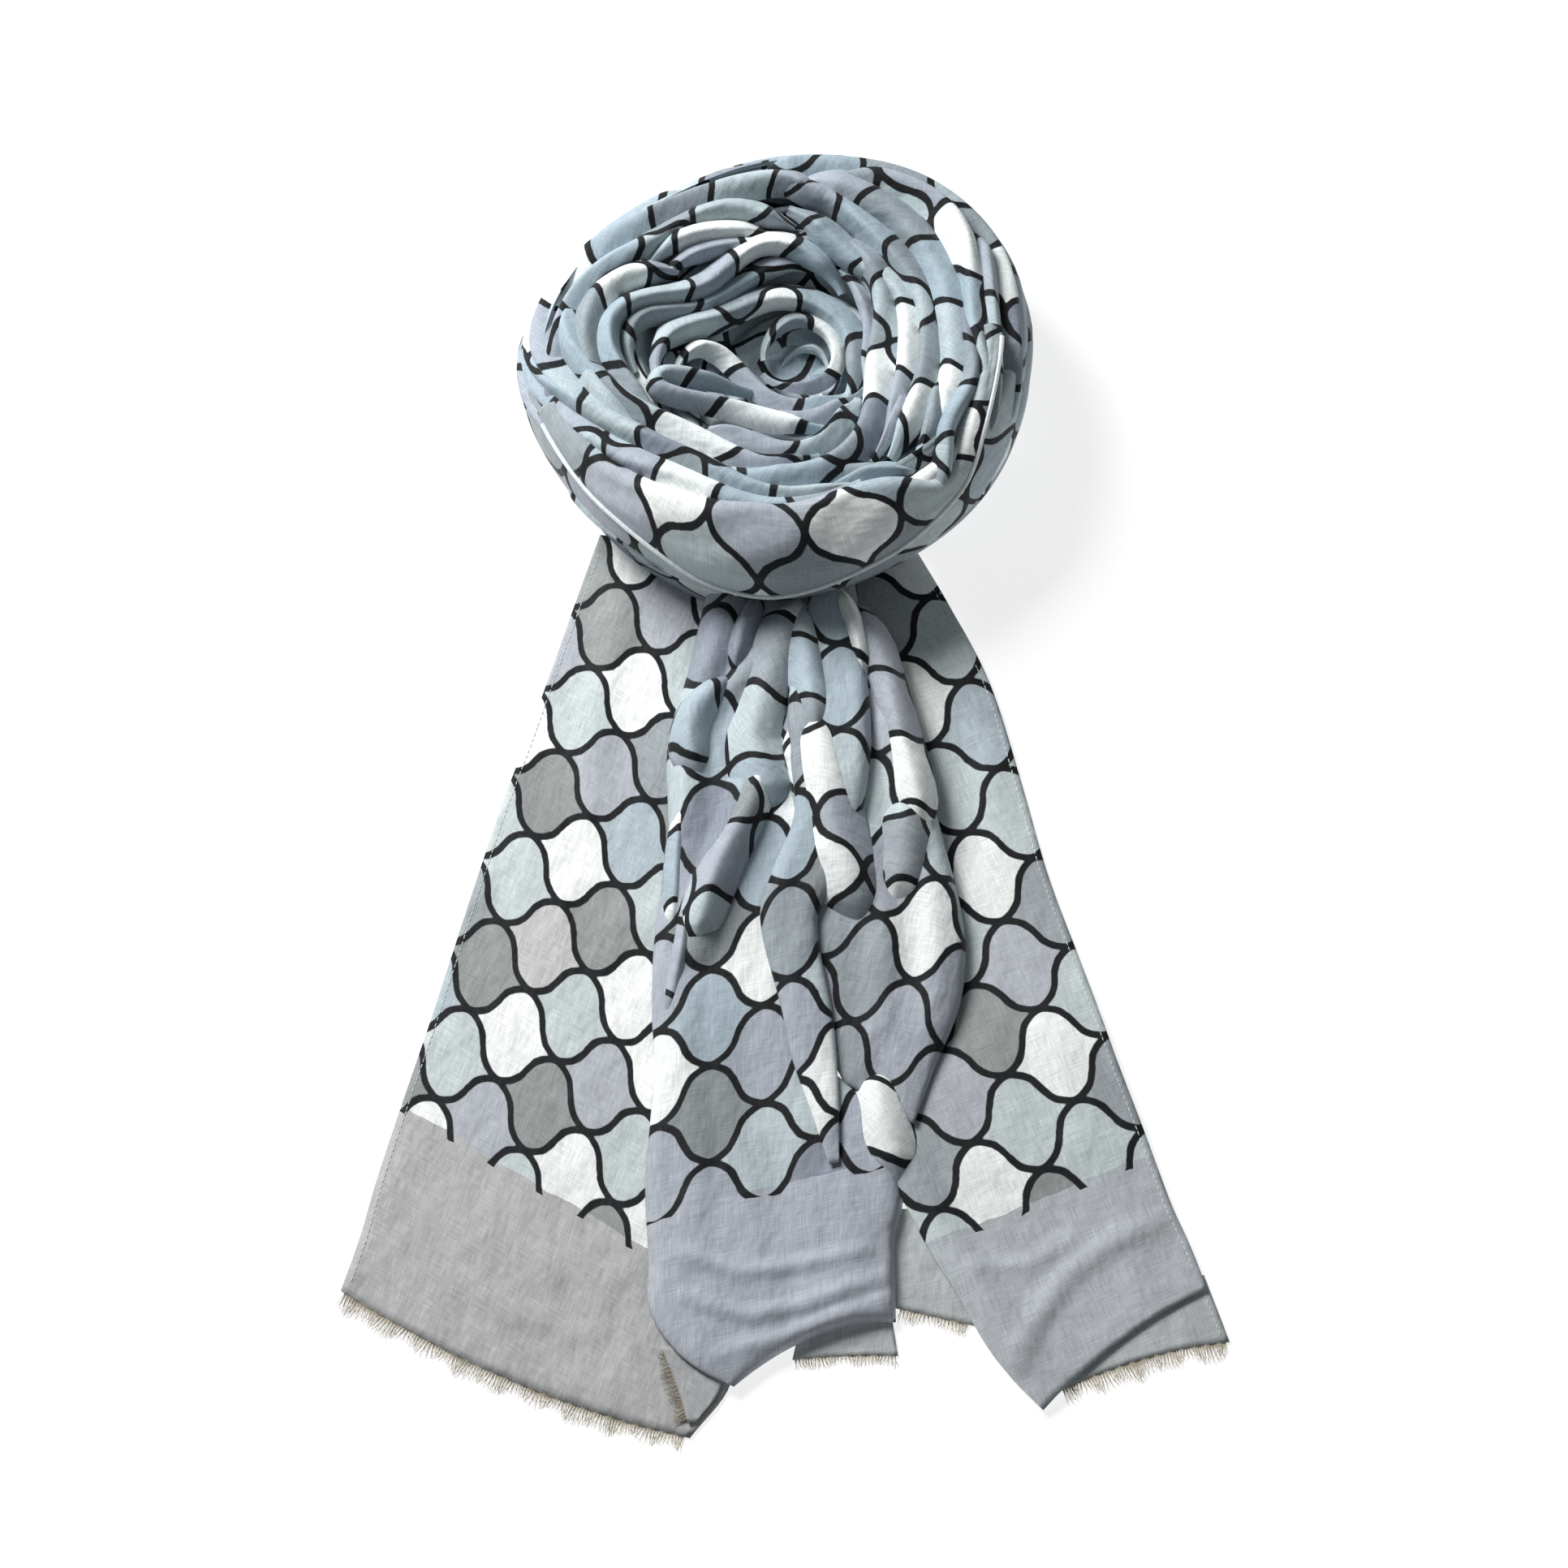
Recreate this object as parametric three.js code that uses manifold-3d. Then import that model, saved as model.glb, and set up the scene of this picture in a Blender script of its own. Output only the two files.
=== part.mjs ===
// A printed hijab scarf lying on a surface: its length is gathered and rolled into a round
// bun, and its last stretch is fanned out in pleats in front of it. Millimetres, +Z up, the
// fan points to -Y. The hidden turns of the bun share rounded solids, what shows is layered.

import * as THREE from "three";
import { mergeGeometries, mergeVertices } from "three/addons/utils/BufferGeometryUtils.js";
import Module from "manifold-3d";

const wasm = await Module();
wasm.setup();

// Sizes of the cloth
const WALL = 1.5;
const GAP = 0.35;
const SETTLED = 0.7;
const BOX_CENTRE = { x: -0.13, y: -0.74 };

// Sizes of the bun
const EYE = { x: 13, y: 226 };
const BUN = { x: -4, y: 221 };
const STEPS_PER_TURN = 48;
const FIRST_DEGREES = 307.5;
const RHO_START = 0.04;
const RHO_PER_TURN = 0.24;
const SHOULDER_RHO = 0.74;
const SIDE_RHO = 0.26;
const SIDE_HEIGHT = 37;
const CROWN_RISE = 42;
const CORE_MIDDLE = 30;
const CORE_DROP = 13;

// Outline of the bun seen from above, round its middle
const OUTLINE = [
  { degrees: 0, radius: 134 },
  { degrees: 30, radius: 143 },
  { degrees: 60, radius: 140 },
  { degrees: 90, radius: 130 },
  { degrees: 120, radius: 122 },
  { degrees: 150, radius: 128 },
  { degrees: 180, radius: 134 },
  { degrees: 210, radius: 126 },
  { degrees: 240, radius: 126 },
  { degrees: 270, radius: 129 },
  { degrees: 300, radius: 125 },
  { degrees: 330, radius: 129 },
  { degrees: 360, radius: 134 },
];

// Height of the rolled cloth from the eye out to the shoulder
const CREST = [
  { rho: 0, z: 38 },
  { rho: 0.14, z: 44 },
  { rho: 0.28, z: 54 },
  { rho: 0.42, z: 64 },
  { rho: 0.56, z: 72 },
  { rho: 0.68, z: 77 },
  { rho: 0.74, z: 79 },
];

// The stretches of the roll, counted in steps from the eye
const TURNS = [
  { name: "eye_coil", from: 0, to: 48, lobes: 2, edge: 9, crease: 5, phase: 0.4, seam: 0.5 },
  { name: "inner_turn", from: 48, to: 96, lobes: 2, edge: 11, crease: 7, phase: 1.9, seam: 0.5 },
  { name: "middle_turn", from: 96, to: 139, lobes: 3, edge: 12, crease: 8, phase: 3.1, seam: 0.5 },
];
const OUTER = { name: "outer_turn", from: 139, to: 187, lobes: 5, crease: 6, phase: 0.7, seam: 1.2 };

// The wide wrap across the front: angles round its section, from its top fold to its selvedge
const BAND = [
  { degrees: 187.5, top: 62, low: 86 },
  { degrees: 210, top: 44, low: 99 },
  { degrees: 240, top: 29, low: 102 },
  { degrees: 270, top: 23, low: 99 },
  { degrees: 300, top: 23, low: 97 },
  { degrees: 322.5, top: 28, low: 87 },
  { degrees: 345, top: 38, low: 66 },
  { degrees: 352.5, top: 45, low: 60 },
];
const BAND_STEPS = 22;
const BAND_CELLS = 7;

// The hollow under the front of the bun through which the fan comes out
const NECK = [
  { x: -114, z: 10 },
  { x: -60, z: 15 },
  { x: -44, z: 22 },
  { x: -30, z: 27 },
  { x: -8, z: 28.4 },
  { x: 25, z: 28.4 },
  { x: 40, z: 26 },
  { x: 52, z: 18 },
  { x: 68, z: 13 },
  { x: 90, z: 10 },
];
const NECK_FRONT = 60;
const NECK_BACK = 153;

// Panels of the fan. A row per section, from the hem (0) to the neck (1): both ends of the
// section, its bow to the back, heights at both ends and between, and how wide each end rolls.
const LEFT_PANEL = [
  { at: 0, leftX: -215, leftY: -274, rightX: -45, rightY: -348, bow: -9, leftZ: 1.5, z: 1.6, rightZ: 1.5 },
  { at: 0.06, leftX: -207, leftY: -247, rightX: -26, rightY: -322, bow: -6, leftZ: 1.5, z: 1.6, rightZ: 1.5 },
  { at: 0.13, leftX: -200, leftY: -217, rightX: -24, rightY: -290, bow: -3, leftZ: 1.5, z: 1.7, rightZ: 1.5 },
  { at: 0.22, leftX: -190, leftY: -180, rightX: -24, rightY: -250, bow: 0, leftZ: 1.5, z: 1.8, rightZ: 1.5 },
  { at: 0.34, leftX: -176, leftY: -130, rightX: -26, rightY: -190, bow: 0, leftZ: 1.5, z: 1.9, rightZ: 1.5 },
  { at: 0.55, leftX: -152, leftY: -40, rightX: -28, rightY: -90, bow: 0, leftZ: 1.5, z: 2, rightZ: 1.5 },
  { at: 0.75, leftX: -128, leftY: 41, rightX: -26, rightY: 0, bow: 0, leftZ: 1.6, z: 2.4, rightZ: 2 },
  { at: 0.93, leftX: -105, leftY: 119, rightX: -15, rightY: 100, bow: 0, leftZ: 2.2, z: 5, rightZ: 4 },
  { at: 1, leftX: -97, leftY: 145, rightX: -12, rightY: 128, bow: 0, leftZ: 2.6, z: 6, rightZ: 5 },
];
const CORNER_FLAP = [
  { at: 0, leftX: -46, leftY: -341, rightX: -42, rightY: -340.5, bow: 0, leftZ: 3.5, z: 3.5, rightZ: 3.5 },
  { at: 0.4, leftX: -50, leftY: -327, rightX: -31, rightY: -325, bow: 0, leftZ: 3.5, z: 3.6, rightZ: 3.5 },
  { at: 1, leftX: -59, leftY: -303, rightX: -28, rightY: -302, bow: 0, leftZ: 3.5, z: 3.6, rightZ: 3.5 },
];
const CENTRE_PLEAT = [
  { at: 0, leftX: -24, leftY: -324, rightX: 54, rightY: -291, bow: 9, leftZ: 5.6, z: 8, rightZ: 3.6 },
  { at: 0.03, leftX: -40, leftY: -316, rightX: 54, rightY: -281, bow: 5, leftZ: 5.6, z: 9, rightZ: 3.6 },
  { at: 0.06, leftX: -53, leftY: -305, rightX: 54, rightY: -273, bow: 1, leftZ: 5.6, z: 9.5, rightZ: 3.6 },
  { at: 0.11, leftX: -65, leftY: -285, rightX: 54, rightY: -262, bow: 0, leftZ: 4.2, z: 10, rightZ: 3.6 },
  { at: 0.17, leftX: -66, leftY: -258, rightX: 54, rightY: -248, bow: 0, leftZ: 3.8, z: 10, rightZ: 3.6 },
  { at: 0.25, leftX: -68, leftY: -222, rightX: 54, rightY: -226, bow: 0, leftZ: 3.8, z: 10, rightZ: 3.6 },
  { at: 0.33, leftX: -66, leftY: -186, rightX: 40, rightY: -197, bow: 0, leftZ: 3.8, z: 10.5, rightZ: 3.6 },
  { at: 0.39, leftX: -64, leftY: -160, rightX: 29, rightY: -176, bow: 0, leftZ: 3.8, z: 11, rightZ: 4 },
  { at: 0.45, leftX: -66, leftY: -130, rightX: 15, rightY: -150, bow: 0, leftZ: 3.8, z: 12, rightZ: 8 },
  { at: 0.55, leftX: -65, leftY: -85, rightX: 8, rightY: -105, bow: 0, leftZ: 4, z: 14, rightZ: 10 },
  { at: 0.65, leftX: -59, leftY: -35, rightX: 10, rightY: -62, bow: 0, leftZ: 4.2, z: 17, rightZ: 13 },
  { at: 0.76, leftX: -60, leftY: 18, rightX: 22, rightY: -14, bow: 0, leftZ: 4.6, z: 20, rightZ: 16 },
  { at: 0.86, leftX: -50, leftY: 60, rightX: 23, rightY: 35, bow: 0, leftZ: 6, z: 21, rightZ: 17 },
  { at: 0.93, leftX: -45, leftY: 84, rightX: 22, rightY: 76, bow: 0, leftZ: 8, z: 20, rightZ: 16 },
  { at: 1, leftX: -39, leftY: 113, rightX: 21, rightY: 112, bow: 0, leftZ: 9, z: 19, rightZ: 15 },
];
const NECK_FOLD = [
  { at: 0, leftX: 22, leftY: -213, rightX: 27, rightY: -212, bow: 0, leftZ: 13, z: 13.6, rightZ: 13 },
  { at: 0.07, leftX: 14, leftY: -188, rightX: 27, rightY: -188, bow: 0, leftZ: 13.4, z: 16, rightZ: 13.4 },
  { at: 0.17, leftX: 4, leftY: -158, rightX: 26, rightY: -158, bow: 0, leftZ: 14.2, z: 18, rightZ: 14.2 },
  { at: 0.25, leftX: -1, leftY: -133, rightX: 24, rightY: -133, bow: 0, leftZ: 15.2, z: 20, rightZ: 15.2 },
  { at: 0.4, leftX: -12, leftY: -84, rightX: 17, rightY: -84, bow: 0, leftZ: 17.6, z: 23, rightZ: 17.6 },
  { at: 0.5, leftX: -6, leftY: -58, rightX: 29, rightY: -58, bow: 0, leftZ: 19, z: 25, rightZ: 19 },
  { at: 0.6, leftX: 5, leftY: -28, rightX: 39, rightY: -28, bow: 0, leftZ: 21, z: 28, rightZ: 21 },
  { at: 0.7, leftX: 3, leftY: 4, rightX: 44, rightY: 4, bow: 0, leftZ: 23, z: 31, rightZ: 23 },
  { at: 0.8, leftX: 2, leftY: 32, rightX: 44, rightY: 32, bow: 0, leftZ: 23.4, z: 31, rightZ: 23.4 },
  { at: 0.88, leftX: 5, leftY: 56, rightX: 41, rightY: 58, bow: 0, leftZ: 23.2, z: 29, rightZ: 23.2 },
  { at: 0.95, leftX: 12, leftY: 85, rightX: 32, rightY: 86, bow: 0, leftZ: 22.4, z: 27.8, rightZ: 22.4 },
  { at: 1, leftX: 12, leftY: 112, rightX: 30, rightY: 112, bow: 0, leftZ: 21.4, z: 27.6, rightZ: 21.4 },
];
const RIGHT_PLEAT = [
  { at: 0, leftX: 30, leftY: -169, rightX: 64, rightY: -190, bow: 0, leftZ: 9.5, z: 10.5, rightZ: 8.5 },
  { at: 0.08, leftX: 18.5, leftY: -146, rightX: 74, rightY: -162, bow: 0, leftZ: 9, z: 12, rightZ: 7 },
  { at: 0.18, leftX: 11.5, leftY: -113, rightX: 88, rightY: -125, bow: 0, leftZ: 10, z: 13.5, rightZ: 6.4 },
  { at: 0.3, leftX: 11.5, leftY: -78, rightX: 91, rightY: -86, bow: 0, leftZ: 12, z: 15.5, rightZ: 5.6 },
  { at: 0.42, leftX: 17, leftY: -47, rightX: 83, rightY: -42, bow: 0, leftZ: 14, z: 17.5, rightZ: 5 },
  { at: 0.55, leftX: 25.5, leftY: -8, rightX: 74, rightY: -4, bow: 0, leftZ: 16, z: 20, rightZ: 5 },
  { at: 0.68, leftX: 27, leftY: 25, rightX: 64, rightY: 38, bow: 0, leftZ: 17, z: 21, rightZ: 5.6 },
  { at: 0.78, leftX: 26, leftY: 52, rightX: 50, rightY: 54, bow: 0, leftZ: 17, z: 21, rightZ: 7 },
  { at: 0.9, leftX: 25, leftY: 82, rightX: 40, rightY: 82, bow: 0, leftZ: 16, z: 20, rightZ: 9 },
  { at: 1, leftX: 24, leftY: 112, rightX: 38, rightY: 112, bow: 0, leftZ: 15, z: 19, rightZ: 10 },
];
const RIGHT_PANEL = [
  { at: 0, leftX: 124, leftY: -335, rightX: 205, rightY: -274, bow: 6, leftZ: 3.6, z: 3.6, rightZ: 3.5 },
  { at: 0.04, leftX: 110, leftY: -320, rightX: 201, rightY: -261, bow: 4, leftZ: 3.6, z: 3.6, rightZ: 3.5 },
  { at: 0.09, leftX: 97, leftY: -302, rightX: 196, rightY: -247, bow: 2, leftZ: 3.6, z: 3.6, rightZ: 3.4 },
  { at: 0.14, leftX: 85, leftY: -279, rightX: 190, rightY: -232, bow: 0, leftZ: 3.6, z: 3.8, rightZ: 2.2 },
  { at: 0.2, leftX: 71, leftY: -255, rightX: 184, rightY: -213, bow: 0, leftZ: 3.8, z: 3.8, rightZ: 1.5 },
  { at: 0.27, leftX: 58, leftY: -229, rightX: 176, rightY: -188, bow: 0, leftZ: 5.6, z: 5.2, rightZ: 1.5 },
  { at: 0.35, leftX: 45, leftY: -203, rightX: 166, rightY: -157, bow: 0, leftZ: 5.8, z: 5.2, rightZ: 1.5 },
  { at: 0.42, leftX: 35, leftY: -179, rightX: 157, rightY: -127, bow: 0, leftZ: 6, z: 5, rightZ: 1.5 },
  { at: 0.5, leftX: 20, leftY: -140, rightX: 148, rightY: -97, bow: 0, leftZ: 2.4, z: 2.4, rightZ: 1.5 },
  { at: 0.62, leftX: 4, leftY: -84, rightX: 134, rightY: -52, bow: 0, leftZ: 1.8, z: 2, rightZ: 1.5 },
  { at: 0.75, leftX: 12, leftY: -20, rightX: 121, rightY: 3, bow: 0, leftZ: 1.8, z: 2.2, rightZ: 1.5 },
  { at: 0.87, leftX: 14, leftY: 40, rightX: 106, rightY: 58, bow: 0, leftZ: 2.4, z: 3.6, rightZ: 1.8 },
  { at: 0.95, leftX: 14, leftY: 86, rightX: 86, rightY: 102, bow: 0, leftZ: 4, z: 5.4, rightZ: 2.4 },
  { at: 1, leftX: 14, leftY: 122, rightX: 70, rightY: 133, bow: 0, leftZ: 5, z: 6, rightZ: 2.8 },
];
const BACK_LAYER = [
  { at: 0, leftX: 46, leftY: -281, rightX: 97, rightY: -293, bow: 0, leftZ: 1.5, z: 1.5, rightZ: 1.5 },
  { at: 1, leftX: 46, leftY: -232, rightX: 68, rightY: -232, bow: 0, leftZ: 1.5, z: 1.5, rightZ: 1.5 },
];
const CENTRE_UNDER_HEM = [
  { at: 0, leftX: 4, leftY: -309, rightX: 55, rightY: -307, bow: 1, leftZ: 1.5, z: 1.5, rightZ: 1.5 },
  { at: 1, leftX: 8, leftY: -291, rightX: 52, rightY: -286, bow: 0, leftZ: 1.5, z: 1.5, rightZ: 1.5 },
];
const RIGHT_UNDER_HEM = [
  { at: 0, leftX: 132, leftY: -325, rightX: 215, rightY: -300, bow: 4, leftZ: 1.5, z: 1.5, rightZ: 1.5 },
  { at: 1, leftX: 147, leftY: -291, rightX: 204, rightY: -266, bow: 2, leftZ: 1.5, z: 1.5, rightZ: 1.5 },
];

// Ridges that stand up from a panel: the line they follow, their half width and height
const LEFT_RIDGES = [
  { line: [[-150, 10], [-128, -40], [-120, -110]], half: 26, height: 1.6 },
  { line: [[-84, 104], [-96, 40], [-100, -20]], half: 16, height: 2.4 },
  { line: [[-150, -240], [-110, -262], [-80, -270]], half: 24, height: 1.2 },
];
const CENTRE_RIDGES = [
  { line: [[-15, 2], [-28, -38], [-40, -72], [-43, -100]], half: 11, height: 8 },
  { line: [[-26, 100], [-38, 62], [-47, 20], [-48, -30]], half: 11, height: 4 },
  { line: [[-2, 88], [-9, 68], [-20, 52], [-33, 38]], half: 9, height: 4 },
  { line: [[-50, -120], [-46, -200], [-44, -260]], half: 13, height: 2 },
  { line: [[-20, -150], [-4, -220], [6, -280]], half: 16, height: -2 },
  { line: [[30, -215], [34, -250], [30, -285]], half: 14, height: 1.5 },
];
const RIGHT_RIDGES = [
  { line: [[56, 46], [54, 20], [60, -6], [65, -24]], half: 10, height: 5 },
  { line: [[42, -40], [50, -90], [48, -140]], half: 12, height: 3 },
  { line: [[72, -60], [76, -100], [72, -140]], half: 10, height: 2.5 },
];
const RIGHT_PANEL_RIDGES = [
  { line: [[128, -322], [104, -290], [80, -250], [56, -205]], half: 15, height: 3.4 },
  { line: [[170, -240], [140, -170], [124, -110]], half: 24, height: 1.6 },
  { line: [[90, 80], [106, 20], [112, -40]], half: 16, height: 2 },
];

const PANELS = [
  { name: "left_panel", rows: LEFT_PANEL, ridges: LEFT_RIDGES, across: 9, along: 14, rolls: [0, 0, 0] },
  { name: "left_corner_flap", rows: CORNER_FLAP, ridges: [], across: 3, along: 3, rolls: [0, 0, 0] },
  { name: "centre_pleat", rows: CENTRE_PLEAT, ridges: CENTRE_RIDGES, across: 13, along: 24, rolls: [11, 8, 7] },
  { name: "neck_fold", rows: NECK_FOLD, ridges: [], across: 6, along: 16, rolls: [9, 9, 6] },
  { name: "right_pleat", rows: RIGHT_PLEAT, ridges: RIGHT_RIDGES, across: 9, along: 16, rolls: [8, 12, 6] },
  { name: "right_panel", rows: RIGHT_PANEL, ridges: RIGHT_PANEL_RIDGES, across: 10, along: 16, rolls: [6, 0, 0] },
  { name: "back_layer", rows: BACK_LAYER, ridges: [], across: 3, along: 3, rolls: [0, 0, 0] },
  { name: "centre_under_hem", rows: CENTRE_UNDER_HEM, ridges: [], across: 5, along: 1, rolls: [0, 0, 0] },
  { name: "right_under_hem", rows: RIGHT_UNDER_HEM, ridges: [], across: 7, along: 1, rolls: [0, 0, 0] },
];

// Frayed ends: the panel whose edge they follow, the part of that edge, strands and heights
const FRINGES = [
  { name: "left_fringe", rows: LEFT_PANEL, edge: "hem", from: 0.01, to: 0.985, strands: 44, low: 0.2, length: 5.5 },
  { name: "corner_fringe", rows: CORNER_FLAP, edge: "left", from: 0.05, to: 0.97, strands: 10, low: 2.1, length: 4 },
  { name: "centre_fringe", rows: CENTRE_UNDER_HEM, edge: "hem", from: 0.02, to: 0.98, strands: 12, low: 0.2, length: 4 },
  { name: "back_fringe", rows: BACK_LAYER, edge: "hem", from: 0.2, to: 0.85, strands: 8, low: 0.2, length: 4.5 },
  { name: "right_fringe", rows: RIGHT_UNDER_HEM, edge: "hem", from: 0.02, to: 0.98, strands: 22, low: 0.2, length: 6 },
];
const STRIP_WIDTH = 1.3;
const STRAND_WIDTH = 1.1;
const THREAD_HEIGHT = 0.9;

const printedCloth = new THREE.MeshStandardMaterial({ color: 0xc3cacc, roughness: 0.82, metalness: 0 });
const frayedThread = new THREE.MeshStandardMaterial({ color: 0xc8be9f, roughness: 0.9, metalness: 0 });

function mix(a, b, share) {
  return a + (b - a) * share;
}

// Value of one column of a table between its rows, smooth through every row
function column(rows, key, name, value) {
  const last = rows.length - 1;
  let i = 0;
  while (i < last - 1 && value > rows[i + 1][key]) i += 1;
  const a = rows[i];
  const b = rows[i + 1];
  const before = rows[Math.max(i - 1, 0)];
  const after = rows[Math.min(i + 2, last)];
  const step = b[key] - a[key];
  const share = Math.min(Math.max((value - a[key]) / step, 0), 1);
  const slopeA = ((b[name] - before[name]) / (b[key] - before[key])) * step;
  const slopeB = ((after[name] - a[name]) / (after[key] - a[key])) * step;
  const square = share * share;
  const cube = square * share;
  return (2 * cube - 3 * square + 1) * a[name] + (cube - 2 * square + share) * slopeA
    + (3 * square - 2 * cube) * b[name] + (cube - square) * slopeB;
}

// Quarter round that starts steep at an edge and is level after the roll's width
function roll(distance, width) {
  if (width <= 0 || distance >= width) return 1;
  const back = 1 - Math.max(distance, 0) / width;
  return Math.sqrt(1 - back * back);
}

// Height of the ridges at a point of a panel
function ridgeHeight(ridges, x, y) {
  let height = 0;
  for (const ridge of ridges) {
    let nearest = Infinity;
    let along = 0;
    const count = ridge.line.length - 1;
    for (let i = 0; i < count; i += 1) {
      const [ax, ay] = ridge.line[i];
      const [bx, by] = ridge.line[i + 1];
      const length = (bx - ax) ** 2 + (by - ay) ** 2;
      const share = Math.min(Math.max(((x - ax) * (bx - ax) + (y - ay) * (by - ay)) / length, 0), 1);
      const distance = Math.hypot(x - mix(ax, bx, share), y - mix(ay, by, share));
      if (distance < nearest) {
        nearest = distance;
        along = (i + share) / count;
      }
    }
    if (nearest < ridge.half) {
      const fade = Math.sin(Math.PI * mix(0.12, 0.92, along)) ** 0.5;
      height += ridge.height * fade * (1 - (nearest / ridge.half) ** 2) ** 2;
    }
  }
  return height;
}

// Point on the upper face of a panel: across runs 0 to 1 from left to right, along from hem to neck
function panelPoint(panel, across, along) {
  const { rows, ridges, rolls } = panel;
  const at = (name) => column(rows, "at", name, along);
  const leftX = at("leftX");
  const leftY = at("leftY");
  const rightX = at("rightX");
  const rightY = at("rightY");
  const width = Math.hypot(rightX - leftX, rightY - leftY);
  const length = Math.hypot(rows.at(-1).leftX - rows[0].leftX, rows.at(-1).leftY - rows[0].leftY);
  const x = mix(leftX, rightX, across);
  const y = mix(leftY, rightY, across) + at("bow") * 4 * across * (1 - across);
  const edge = mix(at("leftZ"), at("rightZ"), across);
  const rolled = roll(across * width, rolls[0]) * roll((1 - across) * width, rolls[1])
    * roll(along * length, rolls[2]);
  const free = rolls[0] + rolls[1] > 0 ? rolled : Math.sin(Math.PI * across);
  const ridge = ridgeHeight(ridges, x, y) * (rolls[0] + rolls[1] > 0 ? rolled : 1);
  return new THREE.Vector3(x, y, edge + (at("z") - edge) * free + ridge);
}

function flatGeometry(positions, triangles) {
  const geometry = new THREE.BufferGeometry();
  geometry.setAttribute("position", new THREE.Float32BufferAttribute(positions, 3));
  geometry.setIndex(triangles);
  return geometry;
}

// Closed wall from a grid of outer points and the inner points under them
function wallGeometry(outer, inner) {
  const columns = outer.length;
  const rowCount = outer[0].length;
  const positions = [];
  for (const grid of [outer, inner]) {
    for (const line of grid) {
      for (const point of line) positions.push(point.x, point.y, point.z);
    }
  }
  const under = columns * rowCount;
  const index = (i, j) => i * rowCount + j;
  const triangles = [];
  for (let i = 0; i < columns - 1; i += 1) {
    for (let j = 0; j < rowCount - 1; j += 1) {
      const [a, b, c, d] = [index(i, j), index(i + 1, j), index(i + 1, j + 1), index(i, j + 1)];
      triangles.push(a, b, c, a, c, d);
      triangles.push(under + a, under + c, under + b, under + a, under + d, under + c);
    }
  }
  const rim = [];
  for (let i = 0; i < columns - 1; i += 1) rim.push(index(i, 0));
  for (let j = 0; j < rowCount - 1; j += 1) rim.push(index(columns - 1, j));
  for (let i = columns - 1; i > 0; i -= 1) rim.push(index(i, rowCount - 1));
  for (let j = rowCount - 1; j > 0; j -= 1) rim.push(index(0, j));
  rim.forEach((a, k) => {
    const b = rim[(k + 1) % rim.length];
    triangles.push(a, under + a, under + b, a, under + b, b);
  });
  return flatGeometry(positions, triangles);
}

// Grid points moved to the back along the face's own direction; low ones lie on the surface
function innerGrid(outer, thickness) {
  const columns = outer.length;
  const rowCount = outer[0].length;
  return outer.map((line, i) => line.map((point, j) => {
    const before = outer[Math.max(i - 1, 0)][j];
    const after = outer[Math.min(i + 1, columns - 1)][j];
    const near = line[Math.max(j - 1, 0)];
    const far = line[Math.min(j + 1, rowCount - 1)];
    const normal = after.clone().sub(before).cross(far.clone().sub(near)).normalize();
    const inside = point.clone().addScaledVector(normal, -thickness);
    if (inside.z < SETTLED) inside.z = 0;
    return inside;
  }));
}

function panelGeometry(panel) {
  const leftRoll = panel.rolls[0] > 0 ? 1.5 : 1;
  const outer = [];
  for (let i = 0; i <= panel.across; i += 1) {
    const line = [];
    for (let j = 0; j <= panel.along; j += 1) {
      line.push(panelPoint(panel, (i / panel.across) ** leftRoll, j / panel.along));
    }
    outer.push(line);
  }
  return wallGeometry(outer, innerGrid(outer, WALL));
}

// Comb of short frayed threads fused into a narrow strip along an edge
function fringeGeometry(fringe, number) {
  const panel = { rows: fringe.rows, ridges: [], rolls: [0, 0, 0] };
  const edgePoint = (share) => {
    const point = fringe.edge === "hem" ? panelPoint(panel, share, 0) : panelPoint(panel, 0, share);
    return new THREE.Vector2(point.x, point.y);
  };
  const outward = (share) => {
    const ahead = edgePoint(Math.min(share + 0.02, 1)).sub(edgePoint(Math.max(share - 0.02, 0)));
    const side = fringe.edge === "hem" ? 1 : -1;
    return new THREE.Vector2(ahead.y * side, -ahead.x * side).normalize();
  };
  const place = (share, distance) => edgePoint(share).addScaledVector(outward(share), distance);
  const back = [];
  const front = [];
  const span = fringe.to - fringe.from;
  const edgeLength = edgePoint(fringe.from).distanceTo(edgePoint(fringe.to));
  const halfTooth = ((STRAND_WIDTH / 2) / edgeLength) * span;
  for (let k = 0; k < fringe.strands; k += 1) {
    const middle = fringe.from + ((k + 0.5) / fringe.strands) * span;
    const wave = Math.sin(k * 2.399 + number) * 0.5 + Math.sin(k * 0.71 + number * 2) * 0.5;
    const reach = GAP + STRIP_WIDTH + fringe.length * (1 + 0.28 * wave);
    const lean = halfTooth * 1.6 * Math.sin(k * 1.37 + number);
    back.push(place(middle, GAP));
    front.push(place(middle - halfTooth, GAP + STRIP_WIDTH));
    front.push(place(middle + lean, reach));
    front.push(place(middle + halfTooth, GAP + STRIP_WIDTH));
  }
  const outline = [place(fringe.from, GAP), ...back, place(fringe.to, GAP),
    place(fringe.to, GAP + STRIP_WIDTH), ...front.reverse(), place(fringe.from, GAP + STRIP_WIDTH)];
  const geometry = new THREE.ExtrudeGeometry(new THREE.Shape(outline),
    { depth: THREAD_HEIGHT, bevelEnabled: false, steps: 1 });
  geometry.translate(0, 0, fringe.low);
  return geometry;
}

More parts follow.
